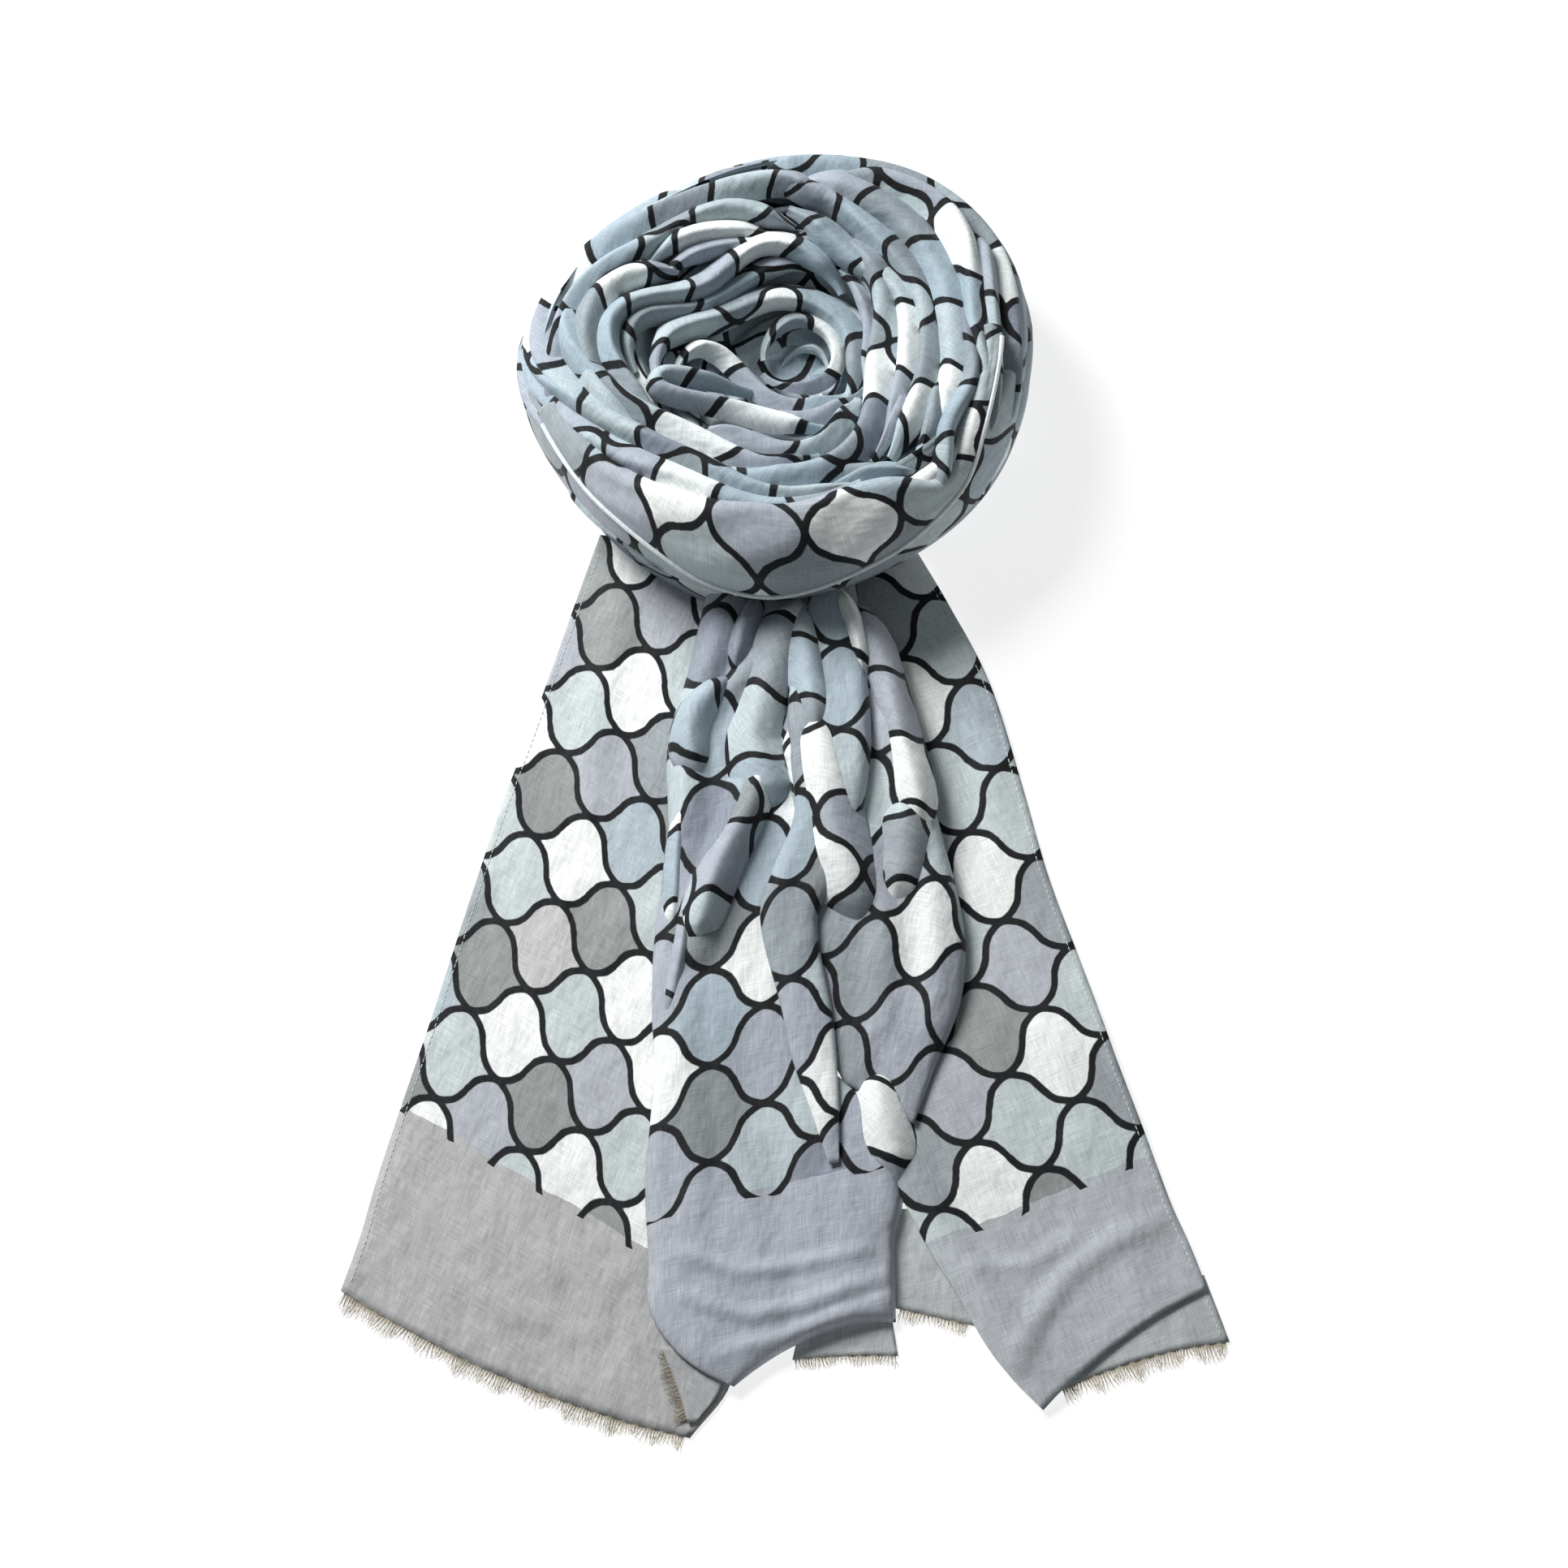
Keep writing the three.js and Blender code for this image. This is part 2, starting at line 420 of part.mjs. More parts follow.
// Place in the bun: rho runs from 0 at the eye to 1 at the outline
function bunPoint(rho, degrees, z, outward = 0) {
  const turned = ((degrees % 360) + 360) % 360;
  const radius = rho * column(OUTLINE, "degrees", "radius", turned) + outward;
  const angle = THREE.MathUtils.degToRad(turned);
  const middle = Math.min(rho, 1);
  return new THREE.Vector3(
    mix(EYE.x, BUN.x, middle) + radius * Math.cos(angle),
    mix(EYE.y, BUN.y, middle) + radius * Math.sin(angle),
    z,
  );
}

function sideSection(angle, inset) {
  const turned = THREE.MathUtils.degToRad(angle);
  const rise = angle < 90 ? CROWN_RISE : SIDE_HEIGHT;
  return {
    rho: SHOULDER_RHO + SIDE_RHO * Math.sin(turned),
    outward: -inset * Math.sin(turned),
    z: SIDE_HEIGHT + (rise - inset) * Math.cos(turned),
  };
}

// The larger of two values, rounded off where they meet
function softMax(a, b) {
  return (a + b + Math.hypot(a - b, 0.004)) / 2;
}

// Narrow crease between two gathers, deepest where the count is whole
function creaseDepth(count, depth) {
  return depth * (1 - Math.abs(Math.sin(Math.PI * count))) ** 2;
}

const rhoAt = (step) => RHO_START + (RHO_PER_TURN * step) / STEPS_PER_TURN;
const degreesAt = (step) => FIRST_DEGREES + (360 * step) / STEPS_PER_TURN;

// Section of an inner turn: up from the floor, over its gathers and down again
function turnSection(turn, step) {
  const radius = column(OUTLINE, "degrees", "radius", ((degreesAt(step) % 360) + 360) % 360);
  const side = GAP / 2 / radius;
  const inner = rhoAt(step) + side;
  const outer = Math.min(rhoAt(step + STEPS_PER_TURN), 0.985) - side;
  const points = [{ rho: inner, z: 0 }];
  const count = turn.lobes * 4;
  for (let k = 0; k <= count; k += 1) {
    const across = k / count;
    const shifted = across + 0.05 * Math.sin(Math.PI * across) * Math.sin(step * 0.33 + turn.phase);
    const rho = mix(inner, outer, shifted);
    const arch = Math.sqrt(Math.max(1 - (2 * shifted - 1) ** 2, 0));
    const crest = rho < SHOULDER_RHO ? column(CREST, "rho", "z", rho)
      : SIDE_HEIGHT + CROWN_RISE * Math.sqrt(1 - ((rho - SHOULDER_RHO) / SIDE_RHO) ** 2);
    const uneven = 1.8 * Math.sin(step * 0.47 + k * 1.3 + turn.phase) - 2;
    const crease = k > 0 && k < count ? creaseDepth(across * turn.lobes, turn.crease) : 0;
    points.push({ rho, z: crest - turn.edge * (1 - arch) - crease + uneven * arch });
  }
  points.push({ rho: outer, z: 0 });
  return points;
}

// Section of the outer turn: its crown, its rounded side and the flat it rests on
function outerSection(turn, step) {
  const inner = rhoAt(step) + GAP / 260;
  const first = THREE.MathUtils.radToDeg(Math.asin((inner - SHOULDER_RHO) / SIDE_RHO));
  const points = [{ rho: inner, z: 0 }];
  const count = turn.lobes * 4;
  for (let k = 0; k <= count; k += 1) {
    const share = k / count;
    const shifted = share + 0.02 * Math.sin(Math.PI * share) * Math.sin(step * 0.29 + turn.phase);
    const angle = mix(first, 158, shifted);
    const room = Math.max(sideSection(angle, 0).rho - inner, 0) * 64;
    const inset = k > 0 && k < count ? creaseDepth(share * turn.lobes, turn.crease) : 0;
    const round = sideSection(angle, Math.min(inset, room));
    points.push({ ...round, rho: k === 0 ? inner : softMax(round.rho, inner + 0.004) });
  }
  points.push({ rho: softMax(0.83, inner + 0.006), z: 0 });
  return points;
}

// Solid swept along the spiral from a list of steps, closed at both ends
function sweptGeometry(turn, section) {
  const rings = [];
  for (let step = turn.from; step <= turn.to; step += 1) {
    const radius = rhoAt(step) * 128 + 8;
    const shift = step === turn.from ? ((turn.seam / radius) * STEPS_PER_TURN) / (2 * Math.PI) : 0;
    const points = section(turn, step + shift);
    rings.push(points.map((p) => bunPoint(p.rho, degreesAt(step + shift), p.z, p.outward ?? 0)));
  }
  const size = rings[0].length;
  const positions = rings.flat().flatMap((p) => [p.x, p.y, p.z]);
  const triangles = [];
  for (let i = 0; i < rings.length - 1; i += 1) {
    for (let j = 0; j < size; j += 1) {
      const a = i * size + j;
      const b = i * size + ((j + 1) % size);
      triangles.push(a, b, b + size, a, b + size, a + size);
    }
  }
  for (const [ring, end] of [[0, false], [rings.length - 1, true]]) {
    const points = section(turn, turn.from + ring);
    const flat = points.map((p) => new THREE.Vector2(p.rho * 128 + (p.outward ?? 0), p.z));
    for (const [a, b, c] of THREE.ShapeUtils.triangulateShape(flat, [])) {
      const face = [ring * size + a, ring * size + b, ring * size + c];
      const inOrder = THREE.ShapeUtils.area([flat[a], flat[b], flat[c]]) < 0;
      triangles.push(...(inOrder === end ? face : face.reverse()));
    }
  }
  return flatGeometry(positions, triangles);
}

// Wide wrap that lies on the front of the bun, its lower edge the selvedge
function bandGeometry() {
  const faces = [GAP + 0.25 + WALL, GAP + 0.25].map((lift) => {
    const grid = [];
    for (let i = 0; i <= BAND_STEPS; i += 1) {
      const degrees = 187.5 + i * 7.5;
      const top = column(BAND, "degrees", "top", degrees);
      const low = column(BAND, "degrees", "low", degrees);
      const line = [];
      for (let j = 0; j <= BAND_CELLS; j += 1) {
        const p = sideSection(mix(low, top, j / BAND_CELLS), -lift);
        line.push(bunPoint(p.rho, degrees, p.z, p.outward));
      }
      grid.push(line);
    }
    return grid;
  });
  return wallGeometry(faces[0], faces[1]);
}

// Snail-shaped middle of the roll, inside the first coil and sunk below it
function eyeGeometry() {
  const positions = [];
  const triangles = [];
  const centre = bunPoint(0, 0, 0);
  positions.push(centre.x, centre.y, 0, centre.x, centre.y, CORE_MIDDLE);
  const count = STEPS_PER_TURN - 1;
  for (let step = 0; step <= count; step += 1) {
    const rho = rhoAt(step) - GAP / 128;
    const z = column(CREST, "rho", "z", rho) - CORE_DROP * (1 - 0.4 * Math.sin(step * 0.55) ** 2);
    for (const [share, height] of [[1, 0], [1, z], [0.55, mix(z, CORE_MIDDLE, 0.2) + 3]]) {
      const point = bunPoint(rho * share, degreesAt(step), height);
      positions.push(point.x, point.y, point.z);
    }
  }
  for (let step = 0; step <= count; step += 1) {
    const [low, high, inner] = [0, 1, 2].map((k) => 2 + step * 3 + k);
    const [nextLow, nextHigh, nextInner] = [0, 1, 2].map((k) => 2 + ((step + 1) % (count + 1)) * 3 + k);
    triangles.push(0, nextLow, low, low, nextLow, nextHigh, low, nextHigh, high);
    triangles.push(high, nextHigh, nextInner, high, nextInner, inner, 1, inner, nextInner);
  }
  return flatGeometry(positions, triangles);
}

// Rounded passage under the front of the bun
function neckGeometry() {
  const outer = NECK.map((row) => [
    new THREE.Vector3(row.x, NECK_FRONT, row.z), new THREE.Vector3(row.x, NECK_BACK, row.z)]);
  const inner = NECK.map((row) => [
    new THREE.Vector3(row.x, NECK_FRONT, -5), new THREE.Vector3(row.x, NECK_BACK, -5)]);
  return wallGeometry(outer, inner);
}

function toSolid(geometry) {
  const bare = new THREE.BufferGeometry();
  bare.setAttribute("position", geometry.getAttribute("position"));
  if (geometry.index) bare.setIndex(geometry.index);
  const merged = mergeVertices(bare, 1e-3);
  return new wasm.Manifold(new wasm.Mesh({
    numProp: 3,
    vertProperties: new Float32Array(merged.attributes.position.array),
    triVerts: new Uint32Array(merged.index.array),
  }));
}

function toGeometry(solid) {
  const mesh = solid.getMesh();
  return flatGeometry(Array.from(mesh.vertProperties), Array.from(mesh.triVerts));
}

const group = new THREE.Group();
group.name = "hijab_scarf";

function addNode(name, geometry, material) {
  const bare = mergeVertices(mergeGeometries([geometry.index ? geometry.toNonIndexed() : geometry]), 1e-3);
  bare.deleteAttribute("uv");
  bare.deleteAttribute("normal");
  const own = bare.toNonIndexed();
  own.translate(-BOX_CENTRE.x, -BOX_CENTRE.y, 0);
  own.computeVertexNormals();
  const mesh = new THREE.Mesh(own, material);
  mesh.name = name;
  group.add(mesh);
}

const passage = toSolid(neckGeometry());
addNode("eye_core", eyeGeometry(), printedCloth);
for (const turn of TURNS) {
  addNode(turn.name, toGeometry(toSolid(sweptGeometry(turn, turnSection)).subtract(passage)), printedCloth);
}
addNode(OUTER.name, toGeometry(toSolid(sweptGeometry(OUTER, outerSection)).subtract(passage)), printedCloth);
addNode("front_band", toGeometry(toSolid(bandGeometry()).subtract(passage)), printedCloth);
for (const panel of PANELS) addNode(panel.name, panelGeometry(panel), printedCloth);
FRINGES.forEach((fringe, number) => addNode(fringe.name, fringeGeometry(fringe, number), frayedThread));

export default group;
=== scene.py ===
# A printed hijab scarf on a pale surface: a round bun of rolled cloth, and its last stretch
# fanned out in pleats in front of it. Tables are in millimetres, Blender works in metres.
# Every grid of cloth carries its own place on the flat cloth, so the print follows the folds.

import math

import bmesh
import bpy
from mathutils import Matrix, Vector


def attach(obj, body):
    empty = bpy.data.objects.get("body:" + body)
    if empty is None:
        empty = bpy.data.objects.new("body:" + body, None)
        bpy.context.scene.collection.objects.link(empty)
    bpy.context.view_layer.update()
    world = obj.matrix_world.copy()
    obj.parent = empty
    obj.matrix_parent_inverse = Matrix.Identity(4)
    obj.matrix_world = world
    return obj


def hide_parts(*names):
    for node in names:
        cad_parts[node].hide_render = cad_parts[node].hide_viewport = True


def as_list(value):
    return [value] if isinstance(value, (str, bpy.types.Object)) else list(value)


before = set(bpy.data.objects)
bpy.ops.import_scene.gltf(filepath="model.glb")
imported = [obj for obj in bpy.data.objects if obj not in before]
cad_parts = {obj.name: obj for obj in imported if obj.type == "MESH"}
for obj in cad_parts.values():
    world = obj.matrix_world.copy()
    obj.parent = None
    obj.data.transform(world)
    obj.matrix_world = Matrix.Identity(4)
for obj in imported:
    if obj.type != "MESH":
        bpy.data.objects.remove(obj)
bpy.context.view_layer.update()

MM = 0.001
CLOTH_THICKNESS = 0.9

# The solids are centred by this shift, and no point of the cloth's face lies under this height
SHIFT = (0.13, 0.74)
LOWEST = 1.2

# The print: a wavy lattice of pinched cells with dark outlines, sizes in metres. The outlines
# wander a little, run into each other at the corners, and have a soft edge
REPEAT = 0.039
WAVE = 0.07
LINE_WIDTH = 0.0042
LINE_WANDER = 0.0016
WANDERS_PER_METRE = 140
CORNER_JOIN = 0.07
LINE_EDGE = (-0.012, 0.006)
CELLS_IN_CHART = 32
HALF_DIAGONAL = REPEAT / math.sqrt(2)

# The print's edge along the hem wanders too, and a dark line runs along it
BAND_WANDER = 0.006
BAND_LINE = 0.004

# The weave: threads, slubs, clouds of tone and crumples to the metre, how much the first and
# the clouds change the colour, and how deep the two bumps are
THREADS_PER_METRE = 1700
SLUBS_PER_METRE = 75
CLOUDS_PER_METRE = 26
CRUMPLES_PER_METRE = (44, 26, 1)
THREAD_CONTRAST = 1.4
CLOUD_CONTRAST = 0.34
CRUMPLE_DEPTH = 0.0045
THREAD_DEPTH = 0.00025

# Colours as they look on the cloth, and one deep blue-grey of painted shade
TONES = {
    "white": (242, 244, 241),
    "light": (196, 205, 205),
    "blue": (176, 188, 194),
    "lilac": (178, 181, 188),
    "pink": (198, 196, 196),
    "grey": (160, 166, 169),
    "dark": (149, 153, 152),
    # Painted shade: a deep blue-grey put in cells of the roll and the fan's neck where folds shade the
    # cloth
    "dusk": (148, 152, 161),
}
INK = (15, 18, 22)
THREAD = (192, 183, 164)
STITCH = (222, 230, 234)
FLOOR = (160, 160, 160)
FLOOR_GLOW = 2.2
FLOOR_HALF = 4

# The light from a window at the upper left, its size and power, and the sky's light
WINDOW = (-1.0, 1.0, 1.3)
WINDOW_AIM = (0, 0.05, 0)
WINDOW_SIZE = 0.8
WINDOW_POWER = 51
SKY = (0.9, 0.96, 1, 1)
SKY_STRENGTH = 0.17

# The camera: the photo's width and focal length in pixels, its place and its tilt from straight
# down
PHOTO_PIXELS = 1932
FOCAL_PIXELS = 5280
SENSOR = 36
CAMERA = (0.00013, -0.96366, 1.97735)
CAMERA_TILT = 26

# Sizes of the bun, as in the solids
EYE = (13, 226)
BUN = (-4, 221)
STEPS_PER_TURN = 48
FIRST_DEGREES = 307.5
RHO_START = 0.04
RHO_PER_TURN = 0.24
SHOULDER_RHO = 0.74
SIDE_RHO = 0.26
SIDE_HEIGHT = 37
CROWN_RISE = 42
SHOULDER_REACH = 0.3
MEAN_RADIUS = 128
WIDEST_RHO = 0.985
RHO_GAP = 0.002

# Heights of the feet of the turns and of the eye's middle, and the eye's drop and length
ROLL_FOOT = 18
OUTER_FOOT = 30
CORE_MIDDLE = 30
CORE_DROP = 13

# Angles of the side's section: where the outer turn ends, where the folds' places end, and
# between which the crown stops being sunk
OUTER_END = 158
SIDE_END = 150
CROWN_FLAT = 20
CROWN_EDGE = 60

# The cloth of a turn sinks this far under the solid's top, so that its folds can stand on it.
# A leg down to a foot takes this share of the way across: inner turns have two, the outer has one
TOP_SINK = 8
LEG = 0.12
OUTER_LEG = 0.06
TURN_COLUMNS = 44
ROWS_PER_STEP = 4

# The bun's outline from above, as degrees and radius, and the height of the roll from the eye
# out to the shoulder
OUTLINE = [
    (0, 134), (30, 143), (60, 140), (90, 130), (120, 122), (150, 128), (180, 134),
    (210, 126), (240, 126), (270, 129), (300, 125), (330, 129), (360, 134),
]
CREST = [(0, 38), (0.14, 44), (0.28, 54), (0.42, 64), (0.56, 72), (0.68, 77), (0.74, 79)]

# The stretches of the roll, counted in steps from the eye, and the reach of the folds on each
TURNS = [
    {"node": "eye_coil", "from": 0, "to": 48, "lobes": 2, "edge": 9, "crease": 5, "phase": 0.4,
     "folds": (0, 0.28)},
    {"node": "inner_turn", "from": 48, "to": 96, "lobes": 2, "edge": 11, "crease": 7, "phase": 1.9,
     "folds": (0.28, 0.52)},
    {"node": "middle_turn", "from": 96, "to": 139, "lobes": 3, "edge": 12, "crease": 8, "phase": 3.1,
     "folds": (0.52, 0.74)},
    {"node": "outer_turn", "from": 139, "to": 187, "lobes": 5, "crease": 6, "phase": 0.7,
     "folds": (0.74, 2)},
]

# The wide wrap across the front, an under layer and an upper one with the selvedge: degrees,
# then the angles of the top fold and of the low edge, where 0 is up and 90 is level
UNDER_WRAP = [
    (187.5, 62, 86), (210, 48, 99), (240, 36, 102), (270, 32, 99),
    (300, 34, 97), (322.5, 36, 87), (345, 42, 66), (352.5, 45, 60),
]
UPPER_WRAP = [
    (196, 54, 60), (208, 49, 63), (220, 44, 65), (232, 37, 67), (241.5, 31, 72), (252, 27, 81),
    (261.5, 21, 85), (269, 20, 86), (281.5, 18, 80), (290.5, 17, 76), (299.5, 22, 73),
    (306, 31, 68), (313, 45, 62), (320.5, 45, 55), (332, 28, 37), (345.5, 18, 26), (362, 14, 22),
]

# Lift of each layer off the roll, how far it bulges and where on the print it starts. Its last
# fifth turns in over the top fold, by this much in angle and in depth. The bulge fades towards
# the two ends, and where the layer is narrower than the full angle
UNDER_LAYER = {"rows": UNDER_WRAP, "lift": 0.6, "bulge": 0.6, "start": 17}
UPPER_LAYER = {"rows": UPPER_WRAP, "lift": 4.2, "bulge": 3.2, "start": 0}
TURN_IN = 0.2
TURN_IN_ANGLE = 9
TURN_IN_DEPTH = 9
WRAP_END = 0.08
FULL_WRAP_ANGLE = 55
WRAP_RADIUS = MEAN_RADIUS * 0.98
WRAP_START = 187.5

# Place on the flat cloth of the wrap: across and along, each from the height on the bun's side,
# the length round it and a start
WRAP_CLOTH = ((1.0535, 0.1129, -42.5), (0.2199, 1.025, -126.08))
SIDE_RADIUS = 40
WRAP_LOW = 100

# Folds that stand up on the bun: the tone of one cell and where along the fold it lies, width,
# lift, and the line the fold follows, as degrees round the bun and reach (0 at the eye, 0.74 at
# the shoulder, 1.04 at the side). Most are soft, two are round as a tube
FOLD_KEYS = ("tone", "at", "width", "lift", "line", "kind")
BUN_FOLDS = [
    ("light", 0.35, 24, -1, [(124, 0.94), (110, 0.9), (95, 0.86), (80, 0.86),
        (66, 0.92), (52, 0.94), (38, 0.94), (22, 0.95), (6, 0.95), (350, 0.97), (336, 1.0),
        (322, 1.04)]),
    ("white", 0.62, 15, 3, [(98, 0.8), (86, 0.81), (74, 0.83), (62, 0.82), (52, 0.84),
        (40, 0.9), (28, 0.88), (18, 0.86), (8, 0.87), (356, 0.9), (346, 0.92), (334, 0.96)]),
    ("white", 0.4, 14, 5, [(76, 0.76), (64, 0.77), (54, 0.79), (44, 0.84), (34, 0.79),
        (26, 0.74), (16, 0.7), (6, 0.71), (356, 0.76), (348, 0.79), (340, 0.82), (330, 0.87)]),
    ("light", 0.5, 11, 3, [(36, 0.84), (26, 0.81), (16, 0.79), (6, 0.79), (356, 0.8),
        (346, 0.84), (338, 0.88), (328, 0.92)]),
    ("grey", 0.3, 19, 3, [(86, 0.74), (76, 0.73), (66, 0.7), (56, 0.67), (46, 0.65),
        (34, 0.61), (22, 0.6), (10, 0.63), (356, 0.64), (346, 0.66), (336, 0.68), (326, 0.72)]),
    ("blue", 0.45, 10, 6, [(14, 0.66), (4, 0.7), (354, 0.74), (346, 0.78), (338, 0.76),
        (330, 0.74), (324, 0.77), (321, 0.82), (319, 0.87), (314, 0.91), (306, 0.91),
        (296, 0.9)], "tube"),
    ("blue", 0.3, 13, 4, [(96, 0.74), (88, 0.71), (80, 0.69), (72, 0.63), (64, 0.58),
        (54, 0.54), (42, 0.53), (30, 0.52), (16, 0.51), (2, 0.51), (350, 0.52), (338, 0.55),
        (326, 0.59), (314, 0.65), (306, 0.7)]),
    ("blue", 0.2, 12, 5, [(90, 0.62), (82, 0.58), (74, 0.5), (64, 0.43), (54, 0.41),
        (42, 0.44), (30, 0.46), (18, 0.44), (2, 0.43), (342, 0.45), (330, 0.48), (318, 0.53),
        (308, 0.6)]),
    ("white", 0.47, 15, 7, [(64, 0.5), (54, 0.48), (44, 0.42), (32, 0.36), (18, 0.31),
        (4, 0.3), (346, 0.31), (328, 0.36), (314, 0.44), (304, 0.53), (296, 0.6), (286, 0.64),
        (276, 0.66), (264, 0.67), (250, 0.66)]),
    ("lilac", 0.4, 8, 3, [(66, 0.38), (54, 0.36), (42, 0.3), (24, 0.26), (4, 0.25),
        (344, 0.26), (326, 0.3)]),
    ("white", 0.36, 13, 4, [(214, 0.79), (200, 0.83), (188, 0.86), (178, 0.91),
        (168, 0.96), (160, 0.93), (153, 0.89), (146, 0.84), (137, 0.8), (128, 0.81),
        (120, 0.81), (110, 0.77), (100, 0.75), (91, 0.76), (84, 0.73), (78, 0.66)]),
    ("blue", 0.45, 12, 2, [(214, 0.97), (204, 0.95), (196, 0.92), (188, 0.88),
        (180, 0.85), (172, 0.86), (164, 0.82), (154, 0.78), (145, 0.74), (138, 0.71),
        (130, 0.73), (120, 0.73), (112, 0.7), (104, 0.65), (96, 0.58), (88, 0.54)]),
    ("grey", 0.42, 16, 3, [(220, 0.75), (206, 0.77), (192, 0.76), (180, 0.77),
        (170, 0.77), (161, 0.76), (155, 0.71), (150, 0.63), (143, 0.57)]),
    ("white", 0.55, 11, 3, [(148, 0.66), (140, 0.66), (132, 0.69), (124, 0.66),
        (114, 0.61), (104, 0.54), (96, 0.5)]),
    ("lilac", 0.4, 9, 2, [(150, 0.6), (142, 0.61), (132, 0.6), (122, 0.57), (112, 0.52),
        (102, 0.48), (90, 0.44)]),
    ("light", 0.4, 10, 5, [(222, 0.65), (208, 0.66), (196, 0.67), (184, 0.69),
        (174, 0.71), (166, 0.67), (160, 0.6), (155, 0.53), (150, 0.46), (140, 0.44),
        (128, 0.46), (117, 0.5), (106, 0.53), (95, 0.5), (84, 0.44), (70, 0.36), (60, 0.3)]),
    ("grey", 0.3, 10, 1, [(192, 0.6), (182, 0.61), (172, 0.64), (165, 0.6), (162, 0.5),
        (158, 0.42), (146, 0.38), (130, 0.38), (116, 0.4), (104, 0.41), (92, 0.42),
        (80, 0.38)]),
    ("light", 0.2, 11, 4, [(194, 0.54), (182, 0.52), (172, 0.51), (167, 0.42),
        (158, 0.34), (144, 0.3), (128, 0.32), (112, 0.31), (96, 0.28), (78, 0.26), (60, 0.22),
        (36, 0.19), (3, 0.18), (336, 0.19), (314, 0.23)]),
    ("white", 0.25, 9, 3, [(192, 0.46), (180, 0.43), (174, 0.36), (172, 0.29),
        (186, 0.24), (206, 0.22), (228, 0.23), (250, 0.22), (278, 0.19), (308, 0.21),
        (330, 0.22)]),
    ("light", 0.3, 9, 6, [(222, 0.22), (206, 0.38), (196, 0.46), (194, 0.54),
        (199, 0.6), (206, 0.61), (208, 0.55), (213, 0.45), (230, 0.36), (254, 0.33),
        (274, 0.37), (290, 0.38)], "tube"),
    ("light", 0.45, 12, 4, [(156, 1.0), (166, 0.98), (176, 0.96), (184, 0.93),
        (192, 0.87), (201, 0.82), (211, 0.78), (221, 0.74), (231, 0.71), (242, 0.69),
        (254, 0.7), (266, 0.73), (280, 0.75), (294, 0.76)]),
    ("white", 0.62, 14, 4, [(166, 0.84), (175, 0.83), (184, 0.8), (194, 0.75),
        (204, 0.72), (213, 0.68), (222, 0.62), (234, 0.59), (246, 0.58), (258, 0.59),
        (270, 0.57), (282, 0.52)]),
    ("white", 0.55, 16, 3, [(164, 1.0), (178, 0.97), (192, 0.93), (202, 0.9),
        (210, 0.86), (219, 0.83), (228, 0.81), (238, 0.78), (250, 0.77), (264, 0.77),
        (276, 0.77), (288, 0.79), (300, 0.82), (312, 0.86)]),
    ("lilac", 0.35, 12, 4, [(160, 1.05), (172, 1.03), (184, 1.0), (194, 0.97),
        (203, 0.94), (212, 0.91), (220, 0.89), (229, 0.87), (238, 0.86)]),
    ("grey", 0.4, 9, 2, [(150, 1.08), (163, 1.06), (176, 1.03), (188, 1.02), (200, 1.0),
        (210, 1.01), (220, 0.99)]),
    ("light", 0.4, 14, 3, [(206, 1.04), (216, 1.04), (226, 1.05), (238, 1.06),
        (252, 1.06)]),
    ("lilac", 0.3, 12, 3, [(224, 0.6), (232, 0.53), (240, 0.48), (253, 0.46),
        (266, 0.49), (276, 0.5), (284, 0.44), (294, 0.39), (308, 0.33), (322, 0.28)]),
    ("grey", 0.5, 9, 1, [(268, 0.58), (280, 0.6), (292, 0.66), (302, 0.73),
        (310, 0.8)]),
    ("blue", 0.5, 10, 3, [(282, 0.69), (292, 0.71), (301, 0.75), (308, 0.79),
        (313, 0.84)]),
    ("grey", 0.5, 9, 2, [(348, 0.6), (338, 0.63), (328, 0.67), (319, 0.74),
        (312, 0.8)]),
    ("lilac", 0.5, 8, 4, [(340, 0.46), (330, 0.5), (320, 0.55), (310, 0.61),
        (300, 0.67)]),
    ("white", 0.5, 7, 4, [(170, 0.15), (140, 0.18), (112, 0.21), (90, 0.21), (66, 0.16),
        (36, 0.12), (0, 0.12), (320, 0.11), (270, 0.11), (225, 0.13), (190, 0.15)]),
    ("light", 0.5, 6, 0, [(160, 0.08), (116, 0.1), (76, 0.1), (34, 0.06), (340, 0.05)]),
    ("lilac", 0.5, 8, 2, [(226, 0.31), (246, 0.29), (268, 0.27), (290, 0.27),
        (312, 0.28), (334, 0.26)]),
    ("blue", 0.5, 12, 1, [(150, 0.96), (138, 0.95), (126, 0.93), (112, 0.92)]),
    ("light", 0.5, 18, 1, [(70, 1.04), (50, 1.06), (30, 1.06), (10, 1.06),
        (350, 1.08)]),
    ("white", 0.4, 17, 1, [(196, 1.14), (180, 1.14), (160, 1.1), (140, 1.08),
        (120, 1.06)]),
    ("lilac", 0.4, 16, 2, [(176, 1.0), (160, 1.03), (140, 1.0), (120, 0.99), (98, 0.97),
        (80, 1.0), (60, 1.02)]),
    ("grey", 0.4, 18, 1, [(150, 1.18), (128, 1.16), (104, 1.12), (80, 1.14),
        (56, 1.16)]),
    ("light", 0.6, 16, 1, [(120, 1.26), (96, 1.24), (70, 1.26), (44, 1.22), (20, 1.2)]),
    ("blue", 0.5, 15, 1, [(240, 1.2), (222, 1.18), (204, 1.16), (186, 1.22),
        (168, 1.26)]),
    ("white", 0.5, 17, 1, [(34, 1.16), (14, 1.14), (354, 1.16), (334, 1.2),
        (316, 1.16)]),
]

